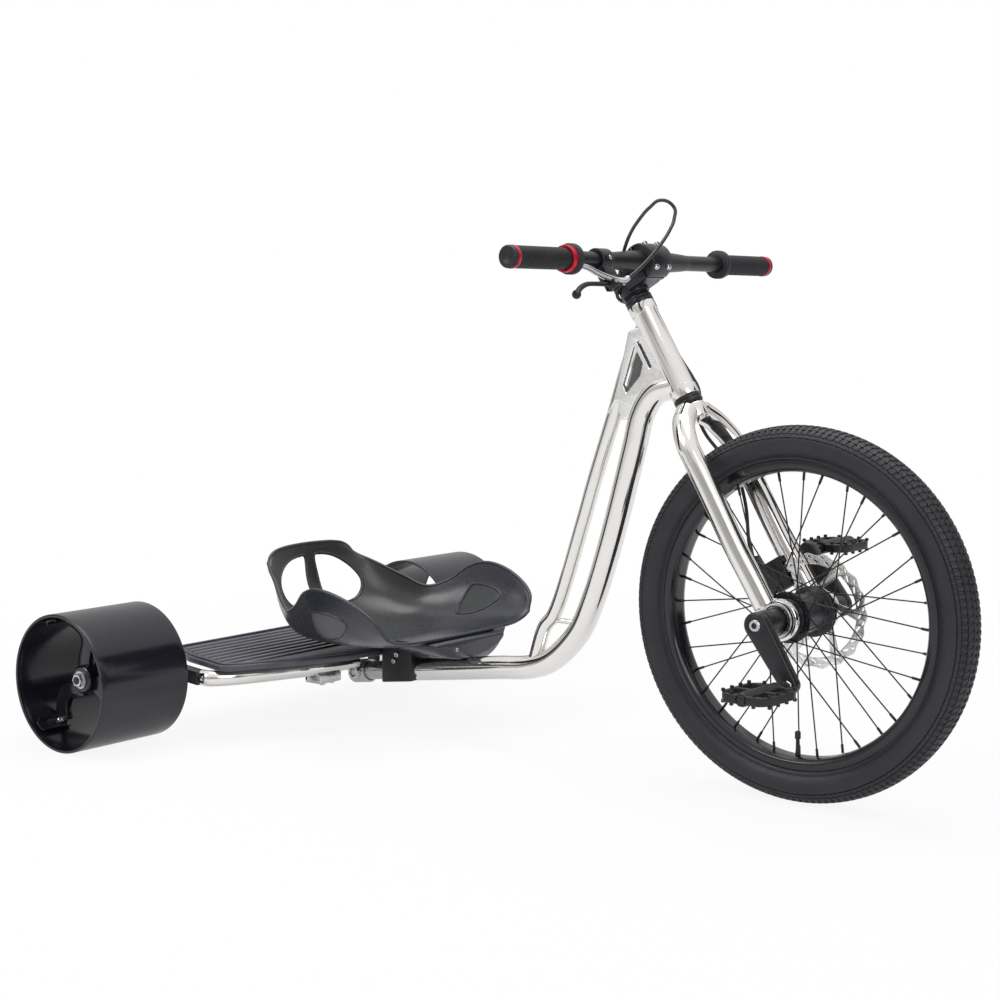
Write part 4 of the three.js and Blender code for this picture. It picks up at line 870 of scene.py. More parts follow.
def make_caliper_arm(inward):
    lean, reach = math.radians(132), 34
    pivot = Vector((-34, -428, -CALIPER_OUT - 0.6))
    tip = Vector((math.cos(lean) * reach, math.sin(lean) * reach, 0))
    outline = arc(9, lean + math.pi / 2, lean + 3 * math.pi / 2, 12)
    outline += arc(6, lean - math.pi / 2, lean + math.pi / 2, 12, tip)
    arm = plate(outline, 0, 4, round_=0.7)
    place = Matrix.Translation(pivot + Vector((0, 0, -4))) @ Matrix.Rotation(-math.pi / 2, 4, "X")
    face = pivot + Vector((0, 0, -3.9))
    heads = [(aim(face, inward), bolt(4.4, 2.4, 20)), (aim(face + tip, inward), bolt(3, 2.4, 18))]
    piece("caliper_arm_body", joined((place, arm), *heads), "caliper_arm", matrix=HEAD,
          look=LEVER_FACE)


# Front wheel
TREAD_ROWS = [(0.55, 0.61), (0.625, 0.73), (0.745, 0.865), (0.88, 0.985)]
TREAD_PITCHES, TREAD_DEPTH, TREAD_LEAN = 160, 1.4, 0.018
BEAD_RADIUS, TYRE_HALF, TYRE_MIDDLE = 204.4, 28.5, 228.0


def tyre_section():
    """Points round the tyre's section, each with its radius, its place across and its row of
    blocks, or the word gap for a groove between two rows."""
    depth = FRONT_RADIUS - BEAD_RADIUS
    shares = [
        (0, 16 / TYRE_HALF), (0.12, 0.62), (0.34, 0.9), (0.55, 1), (0.7, 0.96), (0.82, 0.84),
        (0.91, 0.66), (0.965, 0.44), (0.99, 0.22), (1, 0),
    ]
    line = catmull([(BEAD_RADIUS + up * depth, out * TYRE_HALF, 0) for up, out in shares], 401)
    spots = [(i / 40, None) for i in range(22)]
    for row, (start, end) in enumerate(TREAD_ROWS):
        spots.append((start - 0.005, "gap"))
        spots += [(start + (end - start) * k / 4, row) for k in range(5)]
        spots.append((end + 0.005, "gap"))
    spots.append((1.0, "gap"))
    half = [(*line[round(share * 400)].xy, row) for share, row in spots]
    inner = [(BEAD_RADIUS + 0.6, 11.6), (232, 22.5), (249, 12), (251.5, 0)]
    ring = half + [(r, -y, row) for r, y, row in reversed(half[:-1])]
    return ring + [(r, -y, None) for r, y in inner] + [(r, y, None) for r, y in inner[-2::-1]]


def tread_place(along, low, radius, y, row):
    """A point of the section, so many pitches round the tyre, and sunk where it is in a groove."""
    block_row = isinstance(row, int)
    lean = 0.5 * (row % 2) + TREAD_LEAN * abs(y) * (1 if row % 2 else -1) if block_row else 0
    turn = 2 * math.pi * (along + lean) / TREAD_PITCHES
    cut = TREAD_DEPTH if row == "gap" or (low and block_row) else 0
    if row == 0:
        cut *= 0.5
    away = Vector((radius - TYRE_MIDDLE, y)).normalized() * cut
    size = radius - away.x
    return size * math.cos(turn), y - away.y, size * math.sin(turn)


def make_tyre():
    """A turned tyre with rows of blocks: cross grooves that lean from row to row, and a groove
    round the tyre between two rows."""
    ring = tyre_section()
    bm = bmesh.new()
    grid = []
    for pitch in range(TREAD_PITCHES):
        for share, low in ((0.0, True), (0.1, False), (0.62, False), (0.72, True)):
            grid.append([bm.verts.new(tread_place(pitch + share, low, *spot)) for spot in ring])
    for here, there in zip(grid, grid[1:] + grid[:1]):
        for j in range(len(ring)):
            k = (j + 1) % len(ring)
            bm.faces.new((here[j], here[k], there[k], there[j]))
    for radius, out in ((206.6, 17.2), (213, 23.6)):
        for side in (-1, 1):
            circle = [(x, side * out, z) for x, z in full_circle(radius, 160)]
            bm = joined(bm, sweep(circle, 0.8, 8, closed=True))
    piece("front_tyre_ribbed", bm, "front_tyre", matrix=WHEEL, crease=25)


def make_rim():
    half = [(194, 0), (194, 8), (195.6, 14), (199.5, 18.2), (203, 19), (211, 19), (211.2, 18.2),
            (210.6, 16.6), (204, 16.6), (202, 13), (200.5, 6), (200.5, 0)]
    turned("front_rim_rolled", both_ways(half, closed=True), "front_rim", 0.9, 2, 144,
           matrix=WHEEL, look=RIM_FACE)


def make_hub():
    half = [
        (27, 0), (27, 20), (29, 27.5), (34.2, 29.3), (35, 30.2), (35, 32.6), (34.2, 33.3),
        (25, 33.3), (23.7, 34.2), (23.7, 38.5), (11, 38.5),
    ]
    turned("hub_shell_turned", both_ways(half), "hub_shell", 1.0, 3, 72, matrix=WHEEL)
    spindle = [(0, -116), (9.2, -116), (10, -115), (10, 115), (9.2, 116), (0, 116)]
    piece("crank_spindle_turned", lathe(spindle, 40, False), "crank_spindle", matrix=WHEEL)


def make_spokes():
    per_side, crossing = 18, 3
    step = 2 * math.pi / per_side
    profile = soften([(0, 0), (1.9, 0), (1.9, 11), (1.3, 12.5), (0, 12.5)], 0.5, 2, False)
    for side, word in SIDES:
        rods = []
        shift = 0 if side < 0 else step / 2
        for i in range(per_side):
            lead, over = (crossing, 36.4) if i % 2 == 0 else (-crossing, 35.0)
            foot_turn, head_turn = i * step + shift, (i + lead) * step + shift
            foot = Vector((30 * math.cos(foot_turn), side * over, 30 * math.sin(foot_turn)))
            head = Vector((193.6 * math.cos(head_turn), side * 5, 193.6 * math.sin(head_turn)))
            along = (head - foot).normalized()
            inner = Vector((foot.x, side * 33, foot.z))
            rods.append(sweep([inner, foot.lerp(inner, 0.3), foot + along * 2, head], 1.0, 10))
            rods.append((aim(head, -along), lathe(profile, 14, False)))
        piece(f"spokes_{word}_laced", joined(*rods), f"spokes_{word}", matrix=WHEEL)


def make_valve():
    rod = [(0, -194.2), (3.1, -194.2), (3.1, -190), (2.6, -186), (2.6, -171.5), (4.1, -171),
           (4.1, -163), (3.2, -160.6), (0, -160.6)]
    turned("valve_turned", rod, "valve_stem", 0.5, 2, 28, False,
           matrix=WHEEL @ Matrix.Rotation(math.pi / 2, 4, "X"))


# Cranks and pedals
CRANK_ANGLE = math.radians(-55.6)
CRANK_LENGTH = 88.5
PEDAL_TO = 224.0


def crank_end(side):
    return Vector((
        -side * CRANK_LENGTH * math.cos(CRANK_ANGLE), 0,
        -side * CRANK_LENGTH * math.sin(CRANK_ANGLE),
    ))


def hull_outline(first, second, r1, r2, count=20):
    """The outline round two circles."""
    along = second - first
    lean = math.atan2(along.y, along.x)
    tilt = math.acos((r1 - r2) / along.length)
    out = arc(r1, lean + tilt, lean + 2 * math.pi - tilt, count, first)
    return out + arc(r2, lean - tilt, lean + tilt, count, second)


def make_cranks():
    boss = [(10.4, 66.2), (17.4, 66.2), (17.4, 101), (10.4, 101)]
    ring = [(10.4, 116), (14, 116), (13, 117.6), (10.4, 117.6)]
    axle = [(0, 100), (4.9, 100), (4.9, PEDAL_TO - 1), (4.2, PEDAL_TO), (0, PEDAL_TO)]
    for side, word in SIDES:
        end = crank_end(side)
        outline = hull_outline(Vector((0, 0)), Vector((end.x, end.z)), 17.4, 12.2)
        flip = Matrix.Diagonal((1, side, 1, 1))
        arm = joined(
            plate(outline, *sorted((side * 101, side * 117)), round_=3.2),
            (flip, lathe(soften(boss, 1.2), 56)),
            (flip, lathe(soften(ring, 0.5, 2), 48)),
            (Matrix.Translation(end) @ flip, lathe(axle, 28, False)),
        )
        piece(f"crank_{word}_forged", arm, f"crank_{word}", matrix=WHEEL)
        out = (0, side, 0)
        heads = joined(
            (aim((0, side * 115.6, 0), out), bolt(8.2, 2.8, 30)),
            (aim(end + Vector((0, side * 116.8, 0)), out), bolt(7.2, 1.6, 6)),
        )
        piece(f"crank_bolt_{word}", heads, body="cranks", slot="bare_steel", matrix=WHEEL)


PEDAL_LENGTH, PEDAL_WIDTH, PEDAL_FROM = 76.0, 88.0, 142.0
PIN_RADIUS, PIN_HEIGHT = 2.6, 3.8


def pedal_parts():
    """The cage, its barrel and its pins, along Y from the crank's arm."""
    half, low, high = PEDAL_LENGTH / 2, PEDAL_FROM, PEDAL_FROM + PEDAL_WIDTH
    teeth = [
        (half - (1.4 if k % 2 else 0) - (0 if 0 < k < 8 else 7), low + 6 + (PEDAL_WIDTH - 12) * k / 8)
        for k in range(9)
    ]
    outline = [(-x, y) for x, y in teeth] + [(13 - half, high), (half - 13, high)]
    outline += teeth[::-1] + [(half - 16, low), (16 - half, low)]
    holes = []
    for sign in (-1, 1):
        near, far = sign * 11, sign * (half - 8)
        for start, stop in ((low + 10, low + 42), (low + 47, high - 9)):
            holes.append(soften([(near, start), (near, stop), (far, stop), (far, start)], 3))
    barrel = [(5.3, low), (8.6, low), (9.4, low + 3), (9.4, high - 4), (8.4, high), (5.3, high)]
    parts = [
        plate(outline, -5.8, 5.8, holes, round_=1.4, axis="Z"), lathe(soften(barrel, 0.8, 2), 40),
    ]
    spots = [(x, low + 13 + k * 20.6) for x in (4.2 - half, half - 4.2) for k in range(4)]
    spots += [(x, y) for x in (-16, 16) for y in (low + 4.6, high - 4.4)]
    for face in (-1, 1):
        for spot in spots:
            pin = bolt(PIN_RADIUS, PIN_HEIGHT, 12)
            parts.append((aim((*spot, face * 5.4), (0, 0, face)), pin))
    return parts


def make_pedals():
    for side, word in SIDES:
        turn = Matrix.Rotation(math.pi if side < 0 else 0, 4, "Z")
        place = WHEEL @ Matrix.Translation(crank_end(side)) @ turn
        piece(f"pedal_{word}_cage", joined(*pedal_parts()), f"pedal_{word}", matrix=place)


# Rear frame
RAIL_HEIGHT, RAIL_RADIUS, RAIL_OUT = 98.0, 12.5, 272.0
RAIL_REAR, RAIL_FRONT = 100.0, MAIN_REAR.x - 46
RAIL_PATH = [
    (0.87, 0.08), (0.83, 0.2), (0.78, 0.42), (0.63, 0.6), (0.46, 0.79), (0.27, 0.94), (0.12, 1),
    (0, 1),
]
BOARD_BOTTOM = RAIL_HEIGHT + RAIL_RADIUS + 0.8
BOARD_THICK = 9.7
BOARD_TOP = BOARD_BOTTOM + BOARD_THICK
BOARD_REAR, BOARD_LENGTH, BOARD_HALF = -36.0, 272.0, 272.0
BOARD_SHARES = [(0, 0.79), (0.28, 0.92), (0.48, 0.963), (0.63, 1), (0.69, 0.96), (0.87, 0.58),
                (0.97, 0.29), (1, 0)]
RIDGES, RIDGE_HEIGHT = 9, 2.6
RIDGE_PITCH = BOARD_LENGTH * 2 / 3 / RIDGES
CLAMP_SHARE = 0.214  # how far along a rail its deck clamp sits


def rail_path(side, count=90):
    reach = RAIL_FRONT - RAIL_REAR
    places = [(RAIL_REAR + f * reach, side * out * RAIL_OUT, RAIL_HEIGHT) for f, out in RAIL_PATH]
    return catmull(places, count)


def make_rear_frame():
    slide = sweep([slide_at(distance) for distance in (-78, -77, 149, 150)], 15, 48)
    piece("slide_tube_run", slide, "slide_tube")
    middle, out = slide_at(-63), (0, -1, 0)
    collar = [(15.4, -80), (19.5, -80), (19.5, -46), (15.4, -46)]
    boss = [(0, 15.6), (11.5, 15.6), (11.5, 25), (6.5, 25), (6.5, 20.2), (0, 20.2)]
    piece("clamp_collar_turned", joined(
        (aim(MAIN_REAR, SLIDE_AXIS), lathe(soften(collar, 1.4), 56)),
        (aim(middle, out), lathe(soften(boss, 1.1, closed=False), 48, False)),
    ), "clamp_collar")
    piece("collar_bolt_hex", bolt(5.4, 3.4, 6), "collar_bolt",
          matrix=aim(middle + Vector((0, -20.5, 0)), out))
    for side, word in SIDES:
        piece(f"rail_{word}_run", sweep(rail_path(side), RAIL_RADIUS), f"rail_{word}")
        make_axle_arm(side, word)
        make_deck_clamp(side, word)


def make_axle_arm(side, word):
    outline = [(99.7, 87.2), (99.7, 108.8)]
    outline += arc(11, math.pi / 2, 3 * math.pi / 2, 16, (0, REAR_RADIUS))
    web = plate(outline, *sorted((side * 266, side * 286)), round_=2.2)
    place = Matrix.Translation((0, 0, REAR_RADIUS)) @ Matrix.Diagonal((1, side, 1, 1))
    axle = [(0, 266.3), (10, 266.3), (10, 394.2), (6, 394.2), (6, 439.4), (5.4, 440), (0, 440)]
    rod = lathe(soften(axle, 0.6, 2, False), 40, False)
    piece(f"axle_arm_{word}_welded", joined(web, (place, rod)), f"axle_arm_{word}")
    nut = [(6.3, 430.8), (10.9, 430.8), (10.9, 437.6), (9.8, 438.3), (6.3, 438.3)]
    washer = [(6.3, 430.2), (13.5, 430.2), (13.5, 431.6), (6.3, 431.6)]
    piece(f"axle_nut_{word}_hex", joined(lathe(nut, 6), lathe(washer, 36)), f"axle_nut_{word}",
          matrix=place)


def make_deck_clamp(side, word):
    path = rail_path(side, 200)
    middle = path[round(CLAMP_SHARE * (len(path) - 1))]
    low, high = (Vector(c) / MM + Vector((MIDDLE, 0, 0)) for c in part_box(f"deck_clamp_{word}"))
    body = block(low, (high.x, high.y, RAIL_HEIGHT - RAIL_RADIUS + 2), 2, 3)
    tongue = block((low.x, low.y, low.z + 3), (low.x + 6, high.y, high.z), 1.2)
    across, centre = low.x + 0.76 * (high.x - low.x), (low.y + high.y) / 2
    heads = [
        (aim((across, centre + shift, low.z + 0.4), (0, 0, -1)), bolt(4.2, 3.6, 6))
        for shift in (-11, 11)
    ]
    face = low.y if side < 0 else high.y
    heads.append((aim((middle.x, face, low.z + 8), (0, side, 0)), bolt(3.6, 0.6, 20)))
    piece(f"deck_clamp_{word}_body", joined(body, tongue, *heads), f"deck_clamp_{word}")


def board_half(x):
    """The board's half width at a distance along it."""
    share = (x - BOARD_REAR) / BOARD_LENGTH
    for (a, b), (c, d) in zip(BOARD_SHARES, BOARD_SHARES[1:]):
        if a <= share <= c:
            return BOARD_HALF * (b + (d - b) * (share - a) / (c - a))
    return 0


def ridge(x):
    """A flat bar across the board, with sloping sides and ends."""
    reach = min(board_half(x), board_half(x + RIDGE_PITCH * 0.55)) - 9
    width = RIDGE_PITCH * 0.6
    shape = [(0, -1), (2.2, RIDGE_HEIGHT), (width - 2.2, RIDGE_HEIGHT), (width, -1)]
    bar = bmesh.new()
    right, left = (
        [bar.verts.new((x + u, y + (tuck if h > 0 else 0), BOARD_TOP + h)) for u, h in shape]
        for y, tuck in ((-reach, 2.5), (reach, -2.5))
    )
    for k in range(4):
        m = (k + 1) % 4
        bar.faces.new((right[k], right[m], left[m], left[k]))
    bar.faces.new(right[::-1])
    bar.faces.new(left)
    bmesh.ops.bevel(bar, geom=bar.edges[:], offset=0.5, segments=2, profile=0.5, affect="EDGES")
    return bar


def make_board():
    half = [(BOARD_REAR + a * BOARD_LENGTH, -b * BOARD_HALF) for a, b in BOARD_SHARES]
    outline = half + [(x, -y) for x, y in reversed(half[:-1])]
    slab = plate(soften(outline, 9, 4), BOARD_BOTTOM, BOARD_TOP, round_=2.6, axis="Z")
    ridges = [ridge(BOARD_REAR + 22 + RIDGE_PITCH * i) for i in range(RIDGES)]
    inset = [(BOARD_REAR + 5 + (x - BOARD_REAR) * 0.965, y * 0.972) for x, y in outline]
    lip = sweep([(x, y, BOARD_TOP + 1.2) for x, y in soften(inset, 9, 4)], 2.1, 12, closed=True)
    piece("footboard_ridged", joined(slab, *ridges, lip), "footboard")


# Rear wheels
HUB_ARMS, ARM_STEPS = 3, 14
BOSS_RADIUS, ARM_REACH = 19, 77
# A tab stands across its arm's outer end: its own X runs along the axle, and its Y round the wheel.
TAB_STAND = Matrix(((0, 0, 1, 0), (1, 0, 0, 0), (0, 1, 0, 0), (0, 0, 0, 1)))


def arm_outline(base):
    """A curved arm from the boss to the sleeve, in X and Z, which narrows halfway."""
    path = []
    for i in range(ARM_STEPS + 1):
        share = i / ARM_STEPS
        radius = BOSS_RADIUS + share * ARM_REACH
        turn = base - 0.42 * math.sin(share * math.pi) * (1 - 0.2 * share)
        path.append(Vector((radius * math.cos(turn), radius * math.sin(turn))))
    outer, inner = [], []
    for i, place in enumerate(path):
        along = (path[min(i + 1, ARM_STEPS)] - path[max(i - 1, 0)]).normalized()
        across = Vector((-along.y, along.x)) * (14 - 2 * math.sin(i / ARM_STEPS * math.pi))
        outer.append(tuple(place + across))
        inner.append(tuple(place - across))
    return outer + inner[::-1]


def make_rear_wheels():
    half = [(101.6, 0), (101.6, 74), (101, 80), (101.4, 82.2), (103, 82.5), (105.2, 82.5),
            (106, 81.4), (106, 70), (106, 0)]
    boss = [(6.4, 395), (22, 395), (22, 427), (19, 430), (11, 430), (10, 428.6), (6.4, 428.6)]
    tab = [(0, -12), (52, -12), (56, -6), (56, 6), (52, 12), (0, 12)]
    lip = [(50, -10.5), (22, -10.5), (12, -9), (6, 0), (12, 9), (22, 10.5), (50, 10.5)]
    rib = [(u, v, -2.4) for u, v in soften(lip, 8, 4, closed=False)]
    for side, word in SIDES:
        turned(f"sleeve_{word}_moulded", both_ways(half, closed=True), f"sleeve_{word}", 0.8, 2,
               160, matrix=Matrix.Translation((0, side * REAR_TRACK / 2, REAR_RADIUS)))
        flip = Matrix.Translation((0, 0, REAR_RADIUS)) @ Matrix.Diagonal((1, side, 1, 1))
        parts, bolts = [lathe(soften(boss, 1.2), 56)], []
        for k in range(HUB_ARMS):
            base = math.radians(110 + 120 * k)
            parts.append(plate(soften(arm_outline(base), 3), 408.2, 419.8, round_=1.2))
            turn = Matrix.Rotation(-base, 4, "Y")
            stand = turn @ Matrix.Translation((97, 408, 0)) @ TAB_STAND
            parts.append((stand, plate(soften(tab, 4), -1.6, 1.6, round_=0.8, axis="Z")))
            parts.append((stand, sweep(rib, 1.8, 12)))
            head = turn @ Matrix.Translation((95.2, 424, 0)) @ aim((0, 0, 0), (-1, 0, 0))
            bolts.append((head, bolt(5.2, 4)))
        piece(f"rear_hub_{word}_moulded", joined(*parts), f"rear_hub_{word}", matrix=flip)
        piece(f"sleeve_bolts_{word}", joined(*bolts), body=f"{word}_wheel", slot="bare_steel",
              matrix=flip)


# Seat
SEAT_REAR, SEAT_LENGTH, SEAT_HALF, SEAT_LOW, SEAT_RISE = 59.0, 338.0, 200.0, 139.0, 140.0
SEAT_WALL = 4.0
SEAT_CENTRE = [
    (0, 1), (0.053, 0.479), (0.15, 0.2), (0.3, 0.05), (0.46, 0), (0.58, 0), (0.69, 0.015),
    (0.83, 0.055), (0.95, 0.12), (1, 0.17),
]
SEAT_RIM = [
    (0.02, 0.5, 0.84), (0.133, 0.6, 0.7), (0.246, 0.72, 0.55), (0.352, 0.815, 0.43),
    (0.462, 0.9, 0.52), (0.565, 0.975, 0.7), (0.669, 1, 0.757), (0.831, 0.985, 0.67),
    (0.964, 0.93, 0.47), (1, 0.85, 0.28),
]
# How far across, how far up and how far forward each line of a station lies.
ACROSS = [0, 0.3, 0.58, 0.8, 0.93, 1]
RISE = [0, 0.02, 0.09, 0.27, 0.6, 1]
PLAN = [0, 0.1, 0.33, 0.62, 0.85, 1]
CURVED = [0.9, 1, 0.7, 0.3] + [0] * 6  # how much of its plan's curve each station takes
WINDOW = [
    (0.055, 0.6), (0.055, 0.86), (0.12, 0.87), (0.24, 0.84), (0.34, 0.77), (0.425, 0.66),
    (0.465, 0.54), (0.45, 0.43), (0.38, 0.33), (0.27, 0.285), (0.15, 0.275), (0.07, 0.31),
]
# The wings' panels, in X and Z, and the slit at their upper rear corner.
PANEL = [(250, 176), (257, 200), (266, 208), (318, 202), (327, 194), (310, 176), (286, 165),
         (256, 163)]
SLIT_REAR, SLIT_FRONT, SLIT_LOW, SLIT_HIGH = 251, 256, 206.5, 216.5
SWAP_XY = Matrix(((0, 1, 0, 0), (1, 0, 0, 0), (0, 0, 1, 0), (0, 0, 0, 1)))


def seat_controls():
    across = [-a for a in reversed(ACROSS[1:])] + ACROSS
    up = RISE[:0:-1] + RISE
    plan = PLAN[:0:-1] + PLAN
    return [
        [
            Vector((
                SEAT_REAR + (cx + (u + (p - u) * curved) * (rx - cx)) * SEAT_LENGTH,
                a * ry * SEAT_HALF,
                SEAT_LOW + (cz + u * (rz - cz)) * SEAT_RISE,
            ))
            for a, u, p in zip(across, up, plan)
        ]
        for (cx, cz), (rx, ry, rz), curved in zip(SEAT_CENTRE, SEAT_RIM, CURVED)
    ]


def seat_surface(rows=64, columns=84):
    """The seat's upper surface, as a fine grid through stations of its own."""
    lines = [catmull(row, columns) for row in seat_controls()]
    return list(zip(*[catmull([line[j] for line in lines], rows) for j in range(columns)]))


def seat_skins():
    """The shell's upper and lower points, the faces of either, and its border in order."""
    surface = seat_surface()
    rows, columns = len(surface), len(surface[0])
    top, low = [], []
    for i, row in enumerate(surface):
        for j, here in enumerate(row):
            along = surface[min(i + 1, rows - 1)][j] - surface[max(i - 1, 0)][j]
            over = row[min(j + 1, columns - 1)] - row[max(j - 1, 0)]
            top.append(here)
            low.append(here - along.cross(over).normalized() * SEAT_WALL)
    faces = []
    for i in range(rows - 1):
        for j in range(columns - 1):
            a, b = i * columns + j, (i + 1) * columns + j
            faces.append((a, b, b + 1, a + 1))
    border = list(range(columns))
    border += [i * columns + columns - 1 for i in range(1, rows)]
    border += [(rows - 1) * columns + j for j in reversed(range(columns - 1))]
    border += [i * columns for i in reversed(range(1, rows - 1))]
    return top, low, faces, border


def window_loop(side):
    ring = [(side * a * SEAT_HALF, 0, SEAT_LOW + z * SEAT_RISE) for a, z in WINDOW]
    return [(p.x, p.z) for p in catmull(ring + ring[:1], 91)[:-1]]


def window_rim(tree, loop):
    """The loop laid on the backrest, halfway through its wall."""
    rim = []
    for y, z in loop:
        hit = tree.ray_cast(Vector((SEAT_REAR + 130, y, z)), Vector((-1, 0, 0)))
        if hit[0] is None:
            hit = tree.find_nearest(Vector((SEAT_REAR + 20, y, z)))
        rim.append(hit[0] - hit[1] * math.copysign(SEAT_WALL / 2, hit[1].x))
    return rim


def panel_on(tree, side, word, outer):
    """A thin panel laid on one face of a wing, and a bead of the seat's own plastic round it; outside
    the panel is painted lighter as lit, inside painted dark as in shade.
    """
    ring = catmull([(x, 0, z) for x, z in PANEL + PANEL[:1]], 73)[:-1]
    middle = sum(ring, Vector()) / len(ring)
    origin = side * (300 if outer else 0)
    way = Vector((0, -side if outer else side, 0))
    bm = bmesh.new()
    loops = []
    for share in (1.0, 0.97, 0.75, 0.5, 0.25):
        lift = -way * (0.25 if share < 1 else -0.5)
        loop = []
        for spot in ring:
            x, z = middle.x + (spot.x - middle.x) * share, middle.z + (spot.z - middle.z) * share
            place = tree.ray_cast(Vector((x, origin, z)), way)[0]
            loop.append(bm.verts.new(place + lift))
        loops.append(loop)
    for first, second in zip(loops, loops[1:]):
        for k in range(len(first)):
            m = (k + 1) % len(first)
            bm.faces.new((first[k], first[m], second[m], second[k]))
    bm.faces.new(loops[-1])
    edge = [v.co.copy() for v in loops[0]]
    face, look = ("outer", PANEL_OUT_LIT) if outer else ("inner", PANEL_IN_SHADE)
    piece(f"wing_panel_{word}_{face}", bm, body="frame", slot="seat_plastic", look=look)
    return sweep(edge, 2.0, 10, closed=True)


def cut_away(mesh, cutters):
    """The mesh with the cutters taken out of it."""
    holder = bpy.data.objects.new("seat_cut", mesh)
    scene.collection.objects.link(holder)
    tools = []
    for cutter in cutters:
        bmesh.ops.recalc_face_normals(cutter, faces=cutter.faces)
        tools.append(mesh_object("cutter", cutter))
        modifier = holder.modifiers.new("cut", "BOOLEAN")
        modifier.operation = "DIFFERENCE"
        modifier.solver = "EXACT"
        modifier.object = tools[-1]
    bpy.context.view_layer.update()
    graph = bpy.context.evaluated_depsgraph_get()
    bm = bmesh.new()
    bm.from_mesh(bpy.data.meshes.new_from_object(holder.evaluated_get(graph), depsgraph=graph))
    for obj in (holder, *tools):
        bpy.data.objects.remove(obj)
    return bm


def make_seat():
    top, low, faces, border = seat_skins()
    upper, under = (BVHTree.FromPolygons([tuple(v) for v in skin], faces) for skin in (top, low))
    shift = len(top)
    quads = faces + [tuple(k + shift for k in reversed(face)) for face in faces]
    quads += [(a, b, b + shift, a + shift) for a, b in zip(border, border[1:] + border[:1])]
    mesh = bpy.data.meshes.new("seat")
    mesh.from_pydata([tuple(v) for v in top + low], [], quads)
    windows = [window_loop(side) for side in (-1, 1)]
    cutters = [plate(loop, SEAT_REAR - 30, SEAT_REAR + 118, round_=0.01) for loop in windows]
    for cutter in cutters:
        cutter.transform(SWAP_XY)
    cutters.append(block((SLIT_REAR, -240, SLIT_LOW), (SLIT_FRONT, 240, SLIT_HIGH), 1.5, 3))
    beads = [sweep([(top[k] + low[k]) / 2 for k in border], 3.0, 12, closed=True)]
    beads += [sweep(window_rim(upper, loop), 2.7, 12, closed=True) for loop in windows]
    for side, word in SIDES:
        beads += [panel_on(upper, side, word, False), panel_on(under, side, word, True)]
    piece("seat_shell_moulded", joined(cut_away(mesh, cutters), *beads), "seat_shell", crease=40)


def make_pedestal():
    """The fairing under the seat: its sides rise from the keel."""
    half = [(83, 158), (83, 150), (72, 141), (48, 132), (20, 127.2)]
    outline = [(-y, z) for y, z in half] + half[::-1]
    hull = plate(soften(outline, 6), 331, 417.5, round_=4)
    # Painted shade: a thin dark strip on the front face stands for the slot's shaded inside; nothing is
    # cut.
    slot = block((417, -54, 150.4), (418, 14, 152.6), 0.4)
    piece("seat_pedestal_moulded", hull, "seat_pedestal", matrix=SWAP_XY)
    piece("pedestal_slot_shade", slot, body="frame", slot="cable_sheath")
    piece("pedestal_bolt", bolt(3, 1.2, 20), body="frame", slot="bare_steel",
          matrix=aim((416.9, -34, 144.5), (1, 0, 0)))


def make_bracket():
    rear, low, length, high = MAIN_REAR.x, 70, 64, 136
    outline = [(rear + 0.3, low), (rear + length, low + length * math.tan(SLOPE)),
               (rear + length, high), (rear + 0.3, high)]
    piece("saddle_bracket_pressed", plate(soften(outline, 3), -23, 23, round_=2.0),
          "saddle_bracket")
    shank = [(0, -6), (3, -6), (3, 0.5), (0, 0.5)]
    for name, along, up in (("saddle_bolt_upper", 0.55, 0.75), ("saddle_bolt_lower", 0.45, 0.585)):
        place = aim((rear + along * length, -23.2, low + up * (high - low)), (0, -1, 0))
        body = joined(bolt(4.5, 4, 6), lathe(shank, 20, False))
        piece(name + "_hex", body, name, matrix=place)


# Floor, cards and light
def stage_plane(name, place, size, facing, material, camera=True):
    bm = bmesh.new()
    bmesh.ops.create_grid(bm, x_segments=1, y_segments=1, size=0.5)
    bm.transform(Matrix.Diagonal((*size, 1, 1)))
    obj = mesh_object(name, bm)
    obj.data.materials.append(material)
    obj.location = place
    obj.rotation_euler = Vector(facing).to_track_quat("Z", "Y").to_euler()
    if not camera:
        obj.visible_camera = False
        obj.visible_diffuse = False
        obj.visible_shadow = False


def floor_material():
    """A pale floor: the camera sees faint shadows on it near the middle, and none further out."""
    material, tree = new_material("pale floor")
    shader = tree.nodes["Principled BSDF"]
    feed(tree, shader, {
        "Base Color": (0.86, 0.86, 0.86, 1), "Roughness": 0.9, "Specular IOR Level": 0.1,
    })
    camera_ray = add_node(tree, "LightPath").outputs["Is Camera Ray"]
    seen = add_node(tree, "Math", {0: camera_ray, 1: 0.5}, operation="MAXIMUM")
    place = add_node(tree, "TexCoord").outputs["Object"]
    reach = add_node(tree, "VectorMath", {0: place}, operation="LENGTH")
    fade = add_node(tree, "MapRange", {
        "Value": reach.outputs["Value"], "From Min": 0.7, "From Max": 1.9, "To Min": 0.9,
        "To Max": 1.0,
    }, interpolation_type="SMOOTHSTEP")
    share = add_node(tree, "Math", {0: seen.outputs[0], 1: fade.outputs["Result"]},
                     operation="MULTIPLY")
    glow = add_node(tree, "Emission", {"Color": (1, 1, 1, 1)})
    mix = add_node(tree, "MixShader", {
        "Fac": share.outputs[0], 1: shader.outputs["BSDF"], 2: glow.outputs["Emission"],
    })
    feed(tree, tree.nodes["Material Output"], {"Surface": mix.outputs["Shader"]})
    return material


def card_material(grey):
    material, tree = new_material("card")
    tree.nodes.remove(tree.nodes["Principled BSDF"])
    glow = add_node(tree, "Emission", {"Color": (grey, grey, grey, 1)})
    feed(tree, tree.nodes["Material Output"], {"Surface": glow.outputs["Emission"]})
    return material


